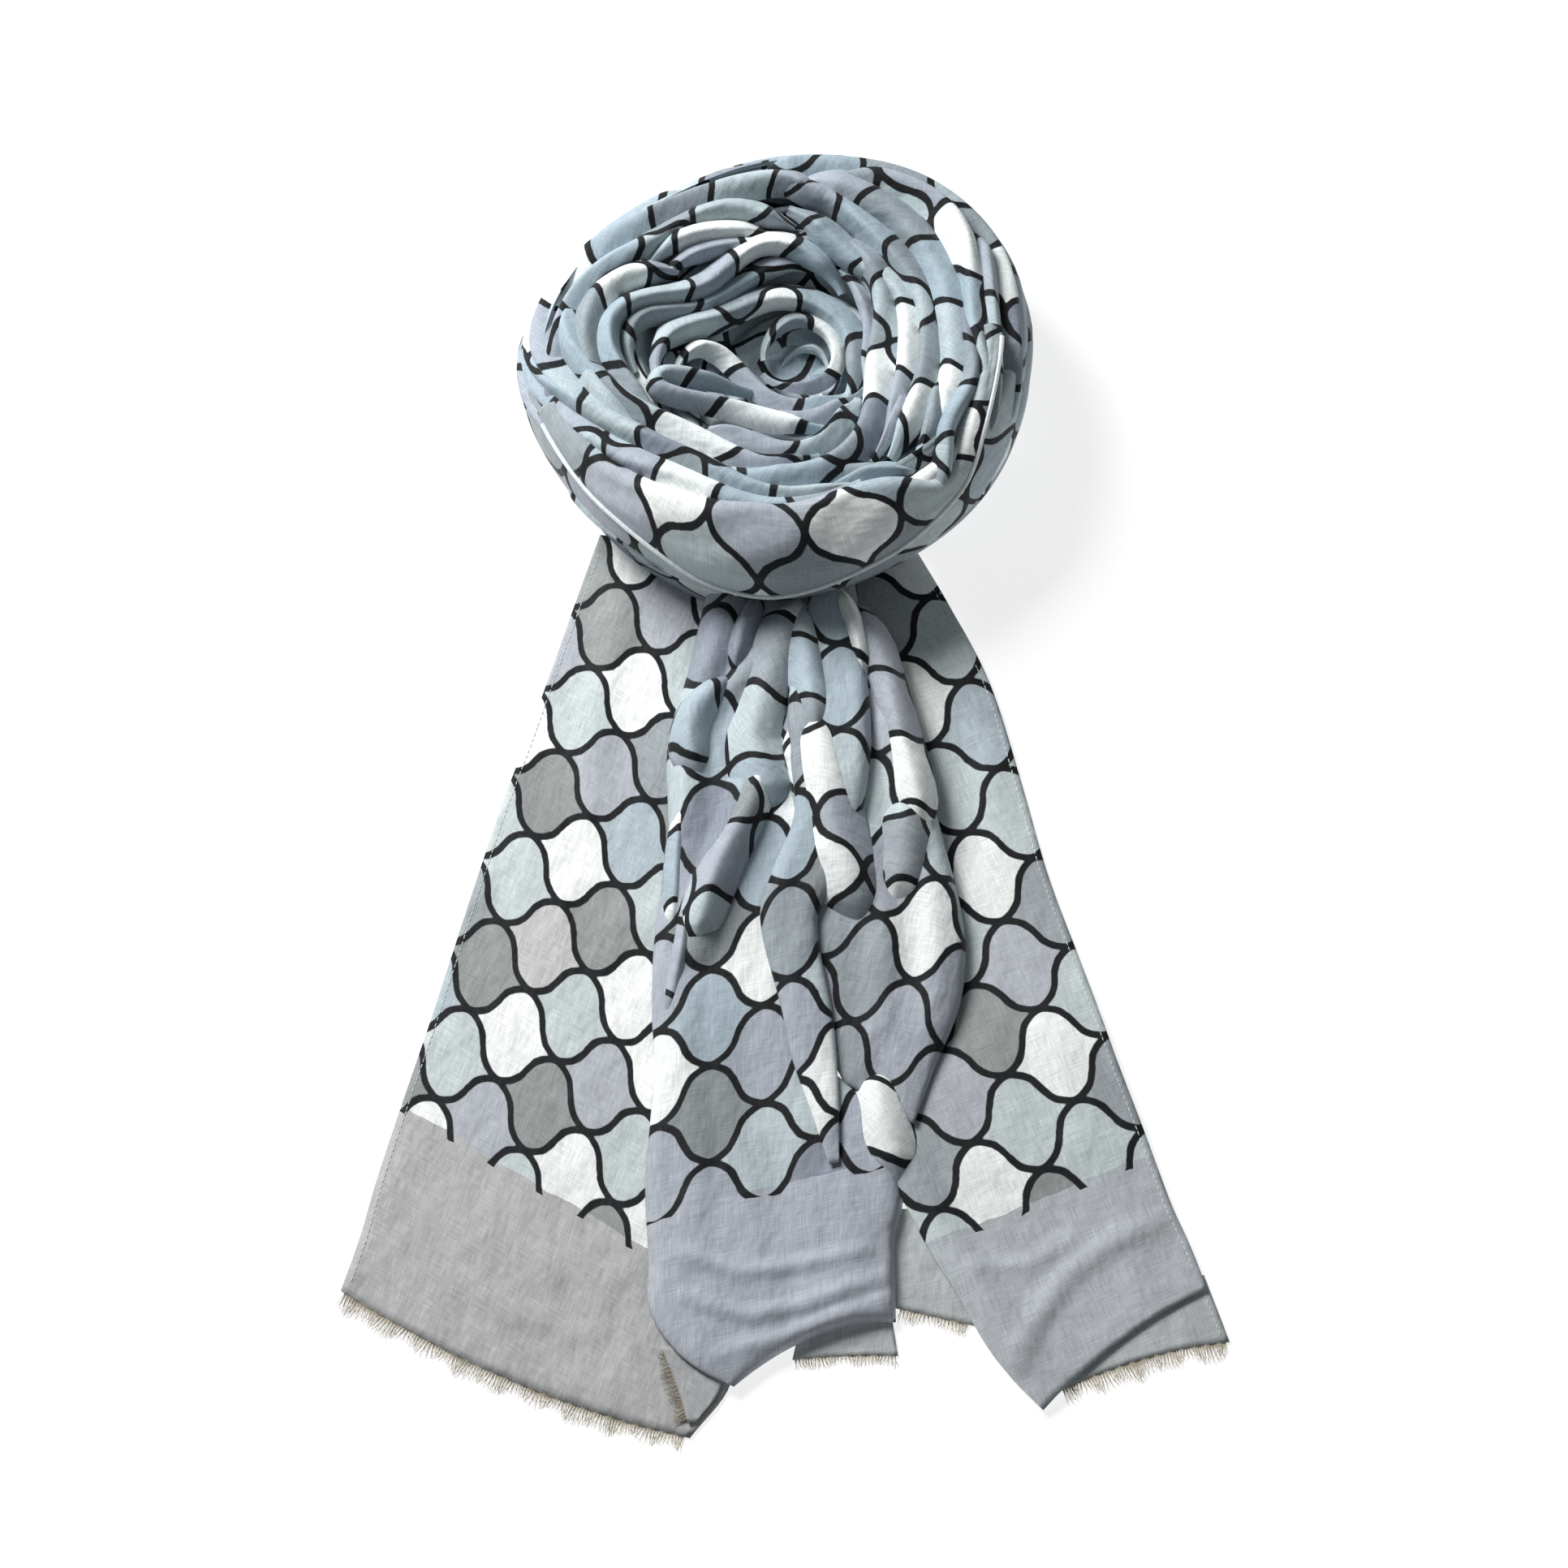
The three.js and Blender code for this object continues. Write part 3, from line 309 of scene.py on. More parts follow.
# Panels of the fan, a row per section from the hem (0) to the neck (1), as in the solids:
# at, left x and y, right x and y, bow, height at the left, between and at the right
KEYS = ("at", "left_x", "left_y", "right_x", "right_y", "bow", "left_z", "z", "right_z")
LEFT_PANEL = [
    (0, -215, -274, -45, -348, -9, 1.5, 1.6, 1.5),
    (0.06, -207, -247, -26, -322, -6, 1.5, 1.6, 1.5),
    (0.13, -200, -217, -24, -290, -3, 1.5, 1.7, 1.5),
    (0.22, -190, -180, -24, -250, 0, 1.5, 1.8, 1.5),
    (0.34, -176, -130, -26, -190, 0, 1.5, 1.9, 1.5),
    (0.55, -152, -40, -28, -90, 0, 1.5, 2, 1.5),
    (0.75, -128, 41, -26, 0, 0, 1.6, 2.4, 2),
    (0.93, -105, 119, -15, 100, 0, 2.2, 5, 4),
    (1, -97, 145, -12, 128, 0, 2.6, 6, 5),
]
CORNER_FLAP = [
    (0, -46, -341, -42, -340.5, 0, 3.5, 3.5, 3.5),
    (0.4, -50, -327, -31, -325, 0, 3.5, 3.6, 3.5),
    (1, -59, -303, -28, -302, 0, 3.5, 3.6, 3.5),
]
CENTRE_PLEAT = [
    (0, -24, -324, 54, -291, 9, 5.6, 8, 3.6),
    (0.03, -40, -316, 54, -281, 5, 5.6, 9, 3.6),
    (0.06, -53, -305, 54, -273, 1, 5.6, 9.5, 3.6),
    (0.11, -65, -285, 54, -262, 0, 4.2, 10, 3.6),
    (0.17, -66, -258, 54, -248, 0, 3.8, 10, 3.6),
    (0.25, -68, -222, 58, -226, 0, 3.8, 10, 3.2),
    (0.33, -66, -186, 49, -197, 0, 3.8, 10.5, 3.2),
    (0.39, -64, -160, 39, -176, 0, 3.8, 11, 3.4),
    (0.45, -66, -130, 15, -150, 0, 3.8, 12, 8),
    (0.55, -65, -85, 8, -105, 0, 4, 14, 10),
    (0.65, -59, -35, 10, -62, 0, 4.2, 17, 13),
    (0.76, -60, 18, 22, -14, 0, 4.6, 20, 16),
    (0.86, -50, 60, 23, 35, 0, 6, 21, 17),
    (0.93, -45, 84, 22, 76, 0, 8, 20, 16),
    (1, -39, 113, 21, 112, 0, 9, 19, 15),
]
NECK_FOLD = [
    (0, 22, -213, 27, -212, 0, 13, 13.6, 13),
    (0.07, 14, -188, 27, -188, 0, 13.4, 16, 13.4),
    (0.17, 4, -158, 26, -158, 0, 14.2, 18, 14.2),
    (0.25, -1, -133, 24, -133, 0, 15.2, 20, 15.2),
    (0.4, -12, -84, 17, -84, 0, 17.6, 23, 17.6),
    (0.5, -6, -58, 29, -58, 0, 19, 25, 19),
    (0.6, 5, -28, 39, -28, 0, 21, 28, 21),
    (0.7, 3, 4, 44, 4, 0, 23, 31, 23),
    (0.8, 2, 32, 44, 32, 0, 23.4, 31, 23.4),
    (0.88, 5, 56, 41, 58, 0, 23.2, 29, 23.2),
    (0.95, 12, 85, 32, 86, 0, 22.4, 27.8, 22.4),
    (1, 12, 112, 30, 112, 0, 21.4, 27.6, 21.4),
]
RIGHT_PLEAT = [
    (0, 30, -169, 64, -190, 0, 9.5, 10.5, 8.5),
    (0.08, 18.5, -146, 74, -162, 0, 9, 12, 7),
    (0.18, 11.5, -113, 88, -125, 0, 10, 13.5, 6.4),
    (0.3, 11.5, -78, 91, -86, 0, 12, 15.5, 5.6),
    (0.42, 17, -47, 83, -42, 0, 14, 17.5, 5),
    (0.55, 25.5, -8, 74, -4, 0, 16, 20, 5),
    (0.68, 27, 25, 64, 38, 0, 17, 21, 5.6),
    (0.78, 26, 52, 50, 54, 0, 17, 21, 7),
    (0.9, 25, 82, 40, 82, 0, 16, 20, 9),
    (1, 24, 112, 38, 112, 0, 15, 19, 10),
]
RIGHT_PANEL = [
    (0, 124, -335, 205, -274, 6, 3.6, 3.6, 3.5),
    (0.04, 110, -320, 201, -261, 4, 3.6, 3.6, 3.5),
    (0.09, 97, -302, 196, -247, 2, 3.6, 3.6, 3.4),
    (0.14, 85, -279, 190, -232, 0, 3.6, 3.8, 2.2),
    (0.2, 71, -255, 184, -213, 0, 3.8, 3.8, 1.5),
    (0.27, 58, -229, 176, -188, 0, 5.6, 5.2, 1.5),
    (0.35, 45, -203, 166, -157, 0, 5.8, 5.2, 1.5),
    (0.42, 35, -179, 157, -127, 0, 6, 5, 1.5),
    (0.5, 20, -140, 148, -97, 0, 2.4, 2.4, 1.5),
    (0.62, 4, -84, 134, -52, 0, 1.8, 2, 1.5),
    (0.75, 12, -20, 121, 3, 0, 1.8, 2.2, 1.5),
    (0.87, 14, 40, 106, 58, 0, 2.4, 3.6, 1.8),
    (0.95, 14, 86, 86, 102, 0, 4, 5.4, 2.4),
    (1, 14, 122, 70, 133, 0, 5, 6, 2.8),
]
BACK_LAYER = [
    (0, 46, -281, 97, -293, 0, 1.5, 1.5, 1.5),
    (1, 46, -232, 68, -232, 0, 1.5, 1.5, 1.5),
]
CENTRE_UNDER_HEM = [
    (0, 4, -309, 55, -307, 1, 1.5, 1.5, 1.5),
    (1, 8, -291, 52, -286, 0, 1.5, 1.5, 1.5),
]
RIGHT_UNDER_HEM = [
    (0, 132, -325, 215, -300, 4, 1.5, 1.5, 1.5),
    (1, 147, -291, 204, -266, 2, 1.5, 1.5, 1.5),
]

# Ridges on the panels: the line they follow, half their width and their height, which fades
# towards their ends as these parts of half a wave do
RIDGE_FADE = (0.12, 0.92)
LEFT_RIDGES = [
    ([(-150, 10), (-128, -40), (-120, -110)], 26, 1.6),
    ([(-84, 104), (-96, 40), (-100, -20)], 16, 2.4),
    ([(-150, -240), (-110, -262), (-80, -270)], 24, 1.2),
    ([(-168, -264), (-130, -286), (-92, -296)], 9, 1.5),
    ([(-122, -240), (-104, -262), (-98, -290)], 10, -1.6),
]
CENTRE_RIDGES = [
    ([(-15, 2), (-28, -38), (-40, -72), (-43, -100)], 11, 8),
    ([(-26, 100), (-38, 62), (-47, 20), (-48, -30)], 11, 4),
    ([(-2, 88), (-9, 68), (-20, 52), (-33, 38)], 9, 4),
    ([(-50, -120), (-46, -200), (-44, -260)], 13, 2),
    ([(-20, -150), (-4, -220), (6, -280)], 16, -2),
    ([(30, -215), (34, -250), (30, -285)], 14, 1.5),
    ([(-50, -258), (-20, -268), (10, -263), (42, -256)], 6.5, 2.0),
    ([(-48, -280), (-18, -290), (8, -284), (48, -270)], 6.5, 2.2),
    ([(-30, -308), (0, -301), (24, -291), (50, -281)], 6.5, 2.0),
]
RIGHT_PLEAT_RIDGES = [
    ([(56, 46), (54, 20), (60, -6), (65, -24)], 10, 5),
    ([(42, -40), (50, -90), (48, -140)], 12, 3),
    ([(72, -60), (76, -100), (72, -140)], 10, 2.5),
]
RIGHT_PANEL_RIDGES = [
    ([(128, -322), (104, -290), (80, -250), (56, -205)], 15, 3.4),
    ([(170, -240), (140, -170), (124, -110)], 24, 1.6),
    ([(90, 80), (106, 20), (112, -40)], 16, 2),
    ([(112, -310), (124, -286), (138, -267), (160, -250), (182, -240)], 9, 2.4),
    ([(92, -264), (118, -262), (142, -248)], 7, 1.6),
]

# Rounded folds laid over the fan's neck, each line as x, y and height of its crest
FAN_FOLDS = {
    "centre_pleat": [
        ("grey", 0.3, 26, 0, [(7, 104, 24), (5, 87, 28), (-1, 69, 30), (-7, 51, 30),
            (-12, 32, 30), (-16, 15, 30), (-12, -2, 30), (-7, -15, 27), (-11, -28, 21)]),
        ("lilac", 0.55, 17, 0, [(-7, 10, 24), (-13, -8, 29), (-18, -24, 31), (-24, -38, 31),
            (-32, -56, 30), (-38, -73, 28), (-43, -90, 24), (-45, -101, 17)]),
        ("blue", 0.5, 18, 0, [(-24, 58, 24), (-32, 48, 28), (-41, 38, 30), (-46, 26, 30),
            (-47, 12, 29), (-43, -1, 26), (-34, -9, 20)]),
        # Painted shade: this fold's deep blue-grey tone stands for its shade
        ("dusk", 0.5, 15, 0, [(-13, 108, 23), (-15, 94, 26), (-20, 78, 27), (-24, 61, 27),
            (-28, 44, 22)]),
        ("blue", 0.5, 9, 0, [(-48, -8, 17), (-51, -24, 19), (-54, -43, 18), (-56, -64, 17),
            (-57, -81, 15), (-54, -100, 10)]),
        ("lilac", 0.5, 9, 0, [(-45, -60, 16), (-49, -77, 18), (-52, -97, 17),
            (-55, -114, 15), (-57, -131, 13), (-59, -152, 8)]),
    ],
    "neck_fold": [
        ("blue", 0.5, 20, 0, [(9, 100, 24), (10, 75, 31), (12, 51, 35), (15, 28, 35),
            (16, 2, 30)]),
        ("white", 0.3, 27, 0, [(14, 34, 29), (16, 15, 34), (19, -8, 35), (24, -30, 33),
            (29, -51, 30), (36, -72, 25), (42, -91, 15)]),
    ],
    "right_pleat": [
        ("lilac", 0.45, 18, 0, [(40, 98, 20), (44, 80, 25), (50, 57, 28), (55, 36, 30),
            (59, 16, 30), (64, -4, 29), (68, -24, 26), (67, -42, 18)]),
        ("grey", 0.5, 25, 0, [(65, -6, 22), (62, -28, 26), (60, -46, 25), (57, -64, 23),
            (53, -82, 15)]),
        ("white", 0.4, 10, 0, [(28, 106, 27), (30, 95, 30), (36, 77, 31), (40, 59, 30),
            (43, 42, 25)]),
        ("white", 0.5, 26, 0, [(43, -152, 6), (45, -166, 13), (48, -181, 15.5),
            (50, -196, 16), (53, -212, 14), (55, -229, 9)]),
    ],
}

# Place on the flat cloth of a point of a panel: across and along, each from x, y and a start
LEFT_CLOTH = ((1.0451, -0.3197, 124.22), (0.5999, 0.9692, 105.80))
RIGHT_CLOTH = ((0.9369, 0.3224, -78.30), (-0.4118, 0.9726, 120.58))
CENTRE_CLOTH = ((1.0416, 0.0058, 39.01), (-0.2593, 1.0833, 108.43))
PLEAT_CLOTH = ((1.1301, -0.2983, -106.33), (0.2596, 0.9342, 91.08))
NECK_CLOTH = ((1.0416, 0.0058, 25.0), (-0.2593, 1.0833, 100.0))

# Panels: the solid each one dresses, the width of the roll at its left, right and low edge, the
# grid of cells across and along, the map of its cloth, its print and what carries it. A plain
# panel has no ridges and no rolled edge, and lies on the surface
PANELS = [
    {"node": "left_panel", "rows": LEFT_PANEL, "ridges": LEFT_RIDGES,
     "cells": (56, 110), "cloth": LEFT_CLOTH, "print": "left"},
    {"node": "left_corner_flap", "rows": CORNER_FLAP,
     "cells": (12, 16), "cloth": LEFT_CLOTH, "print": "plain_left", "on": ["left_panel_cloth"]},
    {"node": "centre_pleat", "rows": CENTRE_PLEAT, "ridges": CENTRE_RIDGES, "rolls": (11, 8, 7),
     "cells": (72, 150), "cloth": CENTRE_CLOTH, "print": "centre", "on": ["left_panel_cloth"]},
    {"node": "neck_fold", "rows": NECK_FOLD, "rolls": (9, 9, 6),
     "cells": (28, 110), "cloth": NECK_CLOTH, "print": "neck", "on": ["centre_pleat_cloth"]},
    {"node": "right_pleat", "rows": RIGHT_PLEAT, "ridges": RIGHT_PLEAT_RIDGES, "rolls": (8, 12, 6),
     "cells": (44, 100), "cloth": PLEAT_CLOTH, "print": "pleat", "on": ["right_panel_cloth"]},
    {"node": "right_panel", "rows": RIGHT_PANEL, "ridges": RIGHT_PANEL_RIDGES, "rolls": (6, 0, 0),
     "cells": (60, 130), "cloth": RIGHT_CLOTH, "print": "right"},
    {"node": "back_layer", "rows": BACK_LAYER,
     "cells": (16, 16), "cloth": CENTRE_CLOTH, "print": "plain_back"},
    {"node": "centre_under_hem", "rows": CENTRE_UNDER_HEM,
     "cells": (20, 8), "cloth": CENTRE_CLOTH, "print": "plain_back"},
    {"node": "right_under_hem", "rows": RIGHT_UNDER_HEM,
     "cells": (30, 10), "cloth": RIGHT_CLOTH, "print": "plain_back"},
]
PLAIN_PANEL = {"ridges": [], "rolls": (0, 0, 0), "on": []}

# Charts of the print, cell by cell: i + row step * j, counted from the cell at the cloth's zero.
# The print stops at a band along the hem. Depth is painted shade: the share of each colour that
# is left where the folds of the roll and the fan's neck shade the cloth, and white cells keep
# this much of what others lose. CHART holds what a chart doesn't say
WHITE_KEPT = 0.6
NO_BAND = -1.0
ALL_BAND = 1.0
CHART = {"row_step": 4, "band": NO_BAND, "band_tone": (176, 179, 187), "depth": (1, 1, 1)}
# Depths under 1 below are painted shade, deepest on the bun's roll
CHARTS = {
    "left": {"band": -0.1785, "band_tone": (180, 180, 179), "tones": """
        white blue dark pink dark light white light white lilac dark lilac white light white light
        light light dark white lilac lilac dark lilac white light white light dark lilac grey light"""},
    "centre": {"band": -0.1315, "band_tone": (173, 177, 186), "depth": (0.94, 0.955, 0.97),
        "tones": """
        white lilac dark lilac light lilac light light white lilac dusk lilac white grey light blue
        lilac grey light dusk lilac light blue grey lilac dusk blue lilac dark blue white blue"""},
    "neck": {"depth": (0.94, 0.955, 0.97), "tones": """
        grey dark lilac lilac light lilac white white lilac grey lilac light white grey light dusk
        lilac white grey light dusk lilac light light blue grey grey blue grey blue light lilac"""},
    "pleat": {"depth": (0.95, 0.96, 0.97), "tones": """
        lilac white white lilac grey white white lilac light grey white lilac light grey white lilac
        lilac lilac light white light lilac grey grey lilac light lilac grey white blue grey lilac"""},
    "right": {"row_step": 7, "band": -0.152, "band_tone": (182, 186, 190), "tones": """
        grey lilac light white light white light grey white light dark light grey white light light
        light blue light light blue light dark grey light white light light grey lilac dark lilac"""},
    "bun": {"depth": (0.9, 0.93, 0.95), "tones": """
        light lilac grey blue light white lilac blue grey light blue lilac light grey white dusk
        blue lilac light grey blue light lilac white blue grey light lilac blue light dusk lilac"""},
    "wrap": {"depth": (0.94, 0.955, 0.965), "tones": """
        white light grey blue light lilac white blue grey light lilac white light grey blue light
        white lilac grey light blue light grey light white grey white blue light lilac lilac lilac"""},
    "plain_left": {"band": ALL_BAND, "band_tone": (170, 171, 172), "tones": "light light"},
    "plain_back": {"band": ALL_BAND, "band_tone": (184, 188, 188), "tones": "light light"},
}

# Frayed ends: panel rows, the edge they follow, the part of it, threads, height and length
FRINGES = [
    {"node": "left_fringe", "rows": LEFT_PANEL, "edge": "hem", "from": 0.01, "to": 0.985,
     "threads": 520, "low": 0.5, "length": 5.5, "on": "left_panel_cloth"},
    {"node": "corner_fringe", "rows": CORNER_FLAP, "edge": "left", "from": 0.05, "to": 0.97,
     "threads": 90, "low": 2.6, "length": 4, "on": "left_corner_flap_cloth"},
    {"node": "centre_fringe", "rows": CENTRE_UNDER_HEM, "edge": "hem", "from": 0.02, "to": 0.98,
     "threads": 140, "low": 0.5, "length": 4, "on": "centre_under_hem_cloth"},
    {"node": "back_fringe", "rows": BACK_LAYER, "edge": "hem", "from": 0.2, "to": 0.85,
     "threads": 90, "low": 0.5, "length": 4.5, "on": "back_layer_cloth"},
    {"node": "right_fringe", "rows": RIGHT_UNDER_HEM, "edge": "hem", "from": 0.02, "to": 0.98,
     "threads": 260, "low": 0.5, "length": 6, "on": "right_under_hem_cloth"},
]
# A thread's mean width, how far inside the edge it starts, and the lowest that its tip bends
THREAD_WIDTH = 0.2
THREAD_ROOT = 0.6
THREAD_LOWEST = 0.1

# Stitched selvedges: panel node, side, and the stretch of it that shows. Stitches lie on the
# cloth and face up and to the front. The wrap's selvedge also has a pale raised edge
SELVEDGES = [
    {"node": "left_panel", "side": "left", "from": 0.01, "to": 0.97},
    {"node": "right_panel", "side": "right", "from": 0.03, "to": 0.97},
    {"node": "right_under_hem", "side": "right", "from": 0.05, "to": 0.98},
]
STITCH_PITCH = 3.3
STITCH_LENGTH = 2.1
STITCH_WIDTH = 0.42
HEM_INSET = 3.2
STITCH_LIFT = 0.12
STITCH_UP = Vector((0, -0.5, 1))
PALE_EDGE_WIDTH = 2.6
PALE_EDGE_LIFT = 1.1

# A frayed hem sinks to the surface over its last stretch
HEM_FALL = 9

# The grid of a panel with a rolled left edge is finer there, by this power
FINER_LEFT = 1.5


def mix(a, b, share):
    return a + (b - a) * share


def clamp(value, low, high):
    return min(max(value, low), high)


def ease(value):
    share = clamp(value, 0, 1)
    return share * share * (3 - 2 * share)


def smooth_between(rows, value):
    """Values of a table's row at a place between its rows, smooth through every row."""
    last = len(rows) - 1
    i = 0
    while i < last - 1 and value > rows[i + 1][0]:
        i += 1
    a, b = rows[i], rows[i + 1]
    before, after = rows[max(i - 1, 0)], rows[min(i + 2, last)]
    step = b[0] - a[0]
    share = clamp((value - a[0]) / step, 0, 1)
    square = share * share
    cube = square * share
    found = []
    for k in range(len(a)):
        slope_a = (b[k] - before[k]) / (b[0] - before[0]) * step
        slope_b = (after[k] - a[k]) / (after[0] - a[0]) * step
        found.append(
            (2 * cube - 3 * square + 1) * a[k] + (cube - 2 * square + share) * slope_a
            + (3 * square - 2 * cube) * b[k] + (cube - square) * slope_b
        )
    return found


def roll(distance, width):
    """Quarter round that starts steep at an edge and is level after the roll's width."""
    if width <= 0 or distance >= width:
        return 1
    back = 1 - max(distance, 0) / width
    return math.sqrt(1 - back * back)


def ridge_height(ridges, x, y):
    total = 0
    for line, half, height in ridges:
        nearest = math.inf
        along = 0
        count = len(line) - 1
        for i in range(count):
            (ax, ay), (bx, by) = line[i], line[i + 1]
            length = (bx - ax) ** 2 + (by - ay) ** 2
            share = clamp(((x - ax) * (bx - ax) + (y - ay) * (by - ay)) / length, 0, 1)
            distance = math.hypot(x - mix(ax, bx, share), y - mix(ay, by, share))
            if distance < nearest:
                nearest = distance
                along = (i + share) / count
        if nearest < half:
            fade = math.sin(math.pi * mix(*RIDGE_FADE, along)) ** 0.5
            total += height * fade * (1 - (nearest / half) ** 2) ** 2
    return total


def panel_length(rows):
    """Length of a panel's left edge, from hem to neck."""
    return math.hypot(rows[-1][1] - rows[0][1], rows[-1][2] - rows[0][2])


def panel_point(rows, ridges, rolls, across, along):
    """Point on the upper face of a panel, across from left to right, along from hem to neck."""
    at = dict(zip(KEYS, smooth_between(rows, along)))
    width = math.hypot(at["right_x"] - at["left_x"], at["right_y"] - at["left_y"])
    length = panel_length(rows)
    x = mix(at["left_x"], at["right_x"], across)
    y = mix(at["left_y"], at["right_y"], across) + at["bow"] * 4 * across * (1 - across)
    edge = mix(at["left_z"], at["right_z"], across)
    rolled = roll(across * width, rolls[0]) * roll((1 - across) * width, rolls[1])
    rolled *= roll(along * length, rolls[2])
    soft = rolls[0] + rolls[1] > 0
    free = rolled if soft else math.sin(math.pi * across)
    ridge = ridge_height(ridges, x, y) * (rolled if soft else 1)
    return x, y, edge + (at["z"] - edge) * free + ridge


def bun_point(rho, degrees, z, outward=0):
    turned = degrees % 360
    radius = rho * smooth_between(OUTLINE, turned)[1] + outward
    angle = math.radians(turned)
    middle = min(rho, 1)
    return Vector((
        mix(EYE[0], BUN[0], middle) + radius * math.cos(angle),
        mix(EYE[1], BUN[1], middle) + radius * math.sin(angle),
        z,
    ))


def side_section(angle, inset):
    turned = math.radians(angle)
    rise = CROWN_RISE if angle < 90 else SIDE_HEIGHT
    rho = SHOULDER_RHO + SIDE_RHO * math.sin(turned)
    return rho, -inset * math.sin(turned), SIDE_HEIGHT + (rise - inset) * math.cos(turned)


def envelope(degrees, reach):
    """Point on the bun's smooth outside, from the eye (0) over the shoulder and down the side."""
    if reach <= SHOULDER_RHO:
        return bun_point(max(reach, 0.01), degrees, smooth_between(CREST, max(reach, 0))[1])
    angle = (reach - SHOULDER_RHO) / SHOULDER_REACH * 90
    rho, outward, z = side_section(min(angle, SIDE_END), 0)
    return bun_point(rho, degrees, z, outward)


def crease_depth(count, depth):
    return depth * (1 - abs(math.sin(math.pi * count))) ** 2


def rho_at(step):
    return RHO_START + RHO_PER_TURN * step / STEPS_PER_TURN


def degrees_at(step):
    return FIRST_DEGREES + 360 * step / STEPS_PER_TURN


def length_to(step):
    """Length of the rolled cloth from the eye to a step, along the middle of its turns."""
    turned = 2 * math.pi * step / STEPS_PER_TURN
    first = RHO_START + RHO_PER_TURN / 2
    return MEAN_RADIUS * (first * turned + RHO_PER_TURN * turned * turned / (4 * math.pi))


def swayed(share, size, place):
    """A share of the way across that sways along the turn, with its ends kept."""
    return share + size * math.sin(math.pi * share) * math.sin(place)


def turn_point(turn, step, across):
    """Point of an inner turn, from its inner foot (0) over its gathers to its outer foot (1)."""
    inner = rho_at(step)
    outer = min(rho_at(step + STEPS_PER_TURN), WIDEST_RHO)
    share = clamp((across - LEG) / (1 - 2 * LEG), 0, 1)
    shifted = swayed(share, 0.05, step * 0.33 + turn["phase"])
    rho = mix(inner, outer, shifted)
    arch = math.sqrt(max(1 - (2 * shifted - 1) ** 2, 0))
    if rho < SHOULDER_RHO:
        crest = smooth_between(CREST, rho)[1]
    else:
        crest = SIDE_HEIGHT + CROWN_RISE * math.sqrt(1 - ((rho - SHOULDER_RHO) / SIDE_RHO) ** 2)
    uneven = 1.8 * math.sin(step * 0.47 + share * 9 + turn["phase"]) - 2
    crease = crease_depth(share * turn["lobes"], turn["crease"])
    top = crest - TOP_SINK - turn["edge"] * (1 - arch) - crease + uneven * arch
    leg = clamp(min(across, 1 - across) / LEG, 0, 1)
    return bun_point(rho, degrees_at(step), mix(ROLL_FOOT, top, leg))


def outer_point(turn, step, across):
    """Point of the outer turn, from its inner foot (0) over the crown to where it rests (1)."""
    inner = rho_at(step) + RHO_GAP
    first = math.degrees(math.asin(clamp((inner - SHOULDER_RHO) / SIDE_RHO, -1, 1)))
    share = clamp((across - OUTER_LEG) / (1 - OUTER_LEG), 0, 1)
    shifted = swayed(share, 0.02, step * 0.29 + turn["phase"])
    angle = mix(first, OUTER_END, shifted)
    room = max(side_section(angle, 0)[0] - inner, 0) * MEAN_RADIUS / 2
    folds = turn["crease"] * (0.7 + 0.3 * math.sin(step * 0.61 + 4 * share))
    inset = min(crease_depth(share * turn["lobes"], folds), room)
    inset += min(TOP_SINK * ease((CROWN_EDGE - angle) / (CROWN_EDGE - CROWN_FLAT)), room)
    rho, outward, z = side_section(angle, inset)
    leg = clamp(across / OUTER_LEG, 0, 1)
    rho = max(rho, inner + 2 * RHO_GAP)
    return bun_point(rho, degrees_at(step), mix(OUTER_FOOT, z, leg), outward)


def smooth_line(points, share):
    """Point on a smooth line through the given ones, evenly by their count."""
    last = len(points) - 1
    place = clamp(share, 0, 1) * last
    i = min(int(place), last - 1)
    t = place - i
    a, b = points[i], points[i + 1]
    before, after = points[max(i - 1, 0)], points[min(i + 2, last)]
    return tuple(
        0.5 * ((2 * b1) + (c1 - a1) * t + (2 * a1 - 5 * b1 + 4 * c1 - d1) * t * t
               + (3 * b1 - a1 - 3 * c1 + d1) * t ** 3)
        for a1, b1, c1, d1 in zip(before, a, b, after)
    )


def unwrapped(points):
    """The same places with degrees that never jump by more than half a turn."""
    found = [points[0]]
    for degrees, reach in points[1:]:
        jump = round((found[-1][0] - degrees) / 360)
        found.append((degrees + 360 * jump, reach))
    return found


def new_piece(name, bm, material):
    mesh = bpy.data.meshes.new(name)
    bm.to_mesh(mesh)
    bm.free()
    piece = bpy.data.objects.new(name, mesh)
    bpy.context.scene.collection.objects.link(piece)
    piece.data.materials.append(material)
    return piece


def skin(bm, rings):
    """Closed skin over rings of corners, one after another."""
    for a, b in zip(rings, rings[1:]):
        for k in range(len(a)):
            m = (k + 1) % len(a)
            bm.faces.new((a[k], a[m], b[m], b[k]))
    bm.faces.new(rings[0][::-1])
    bm.faces.new(rings[-1])


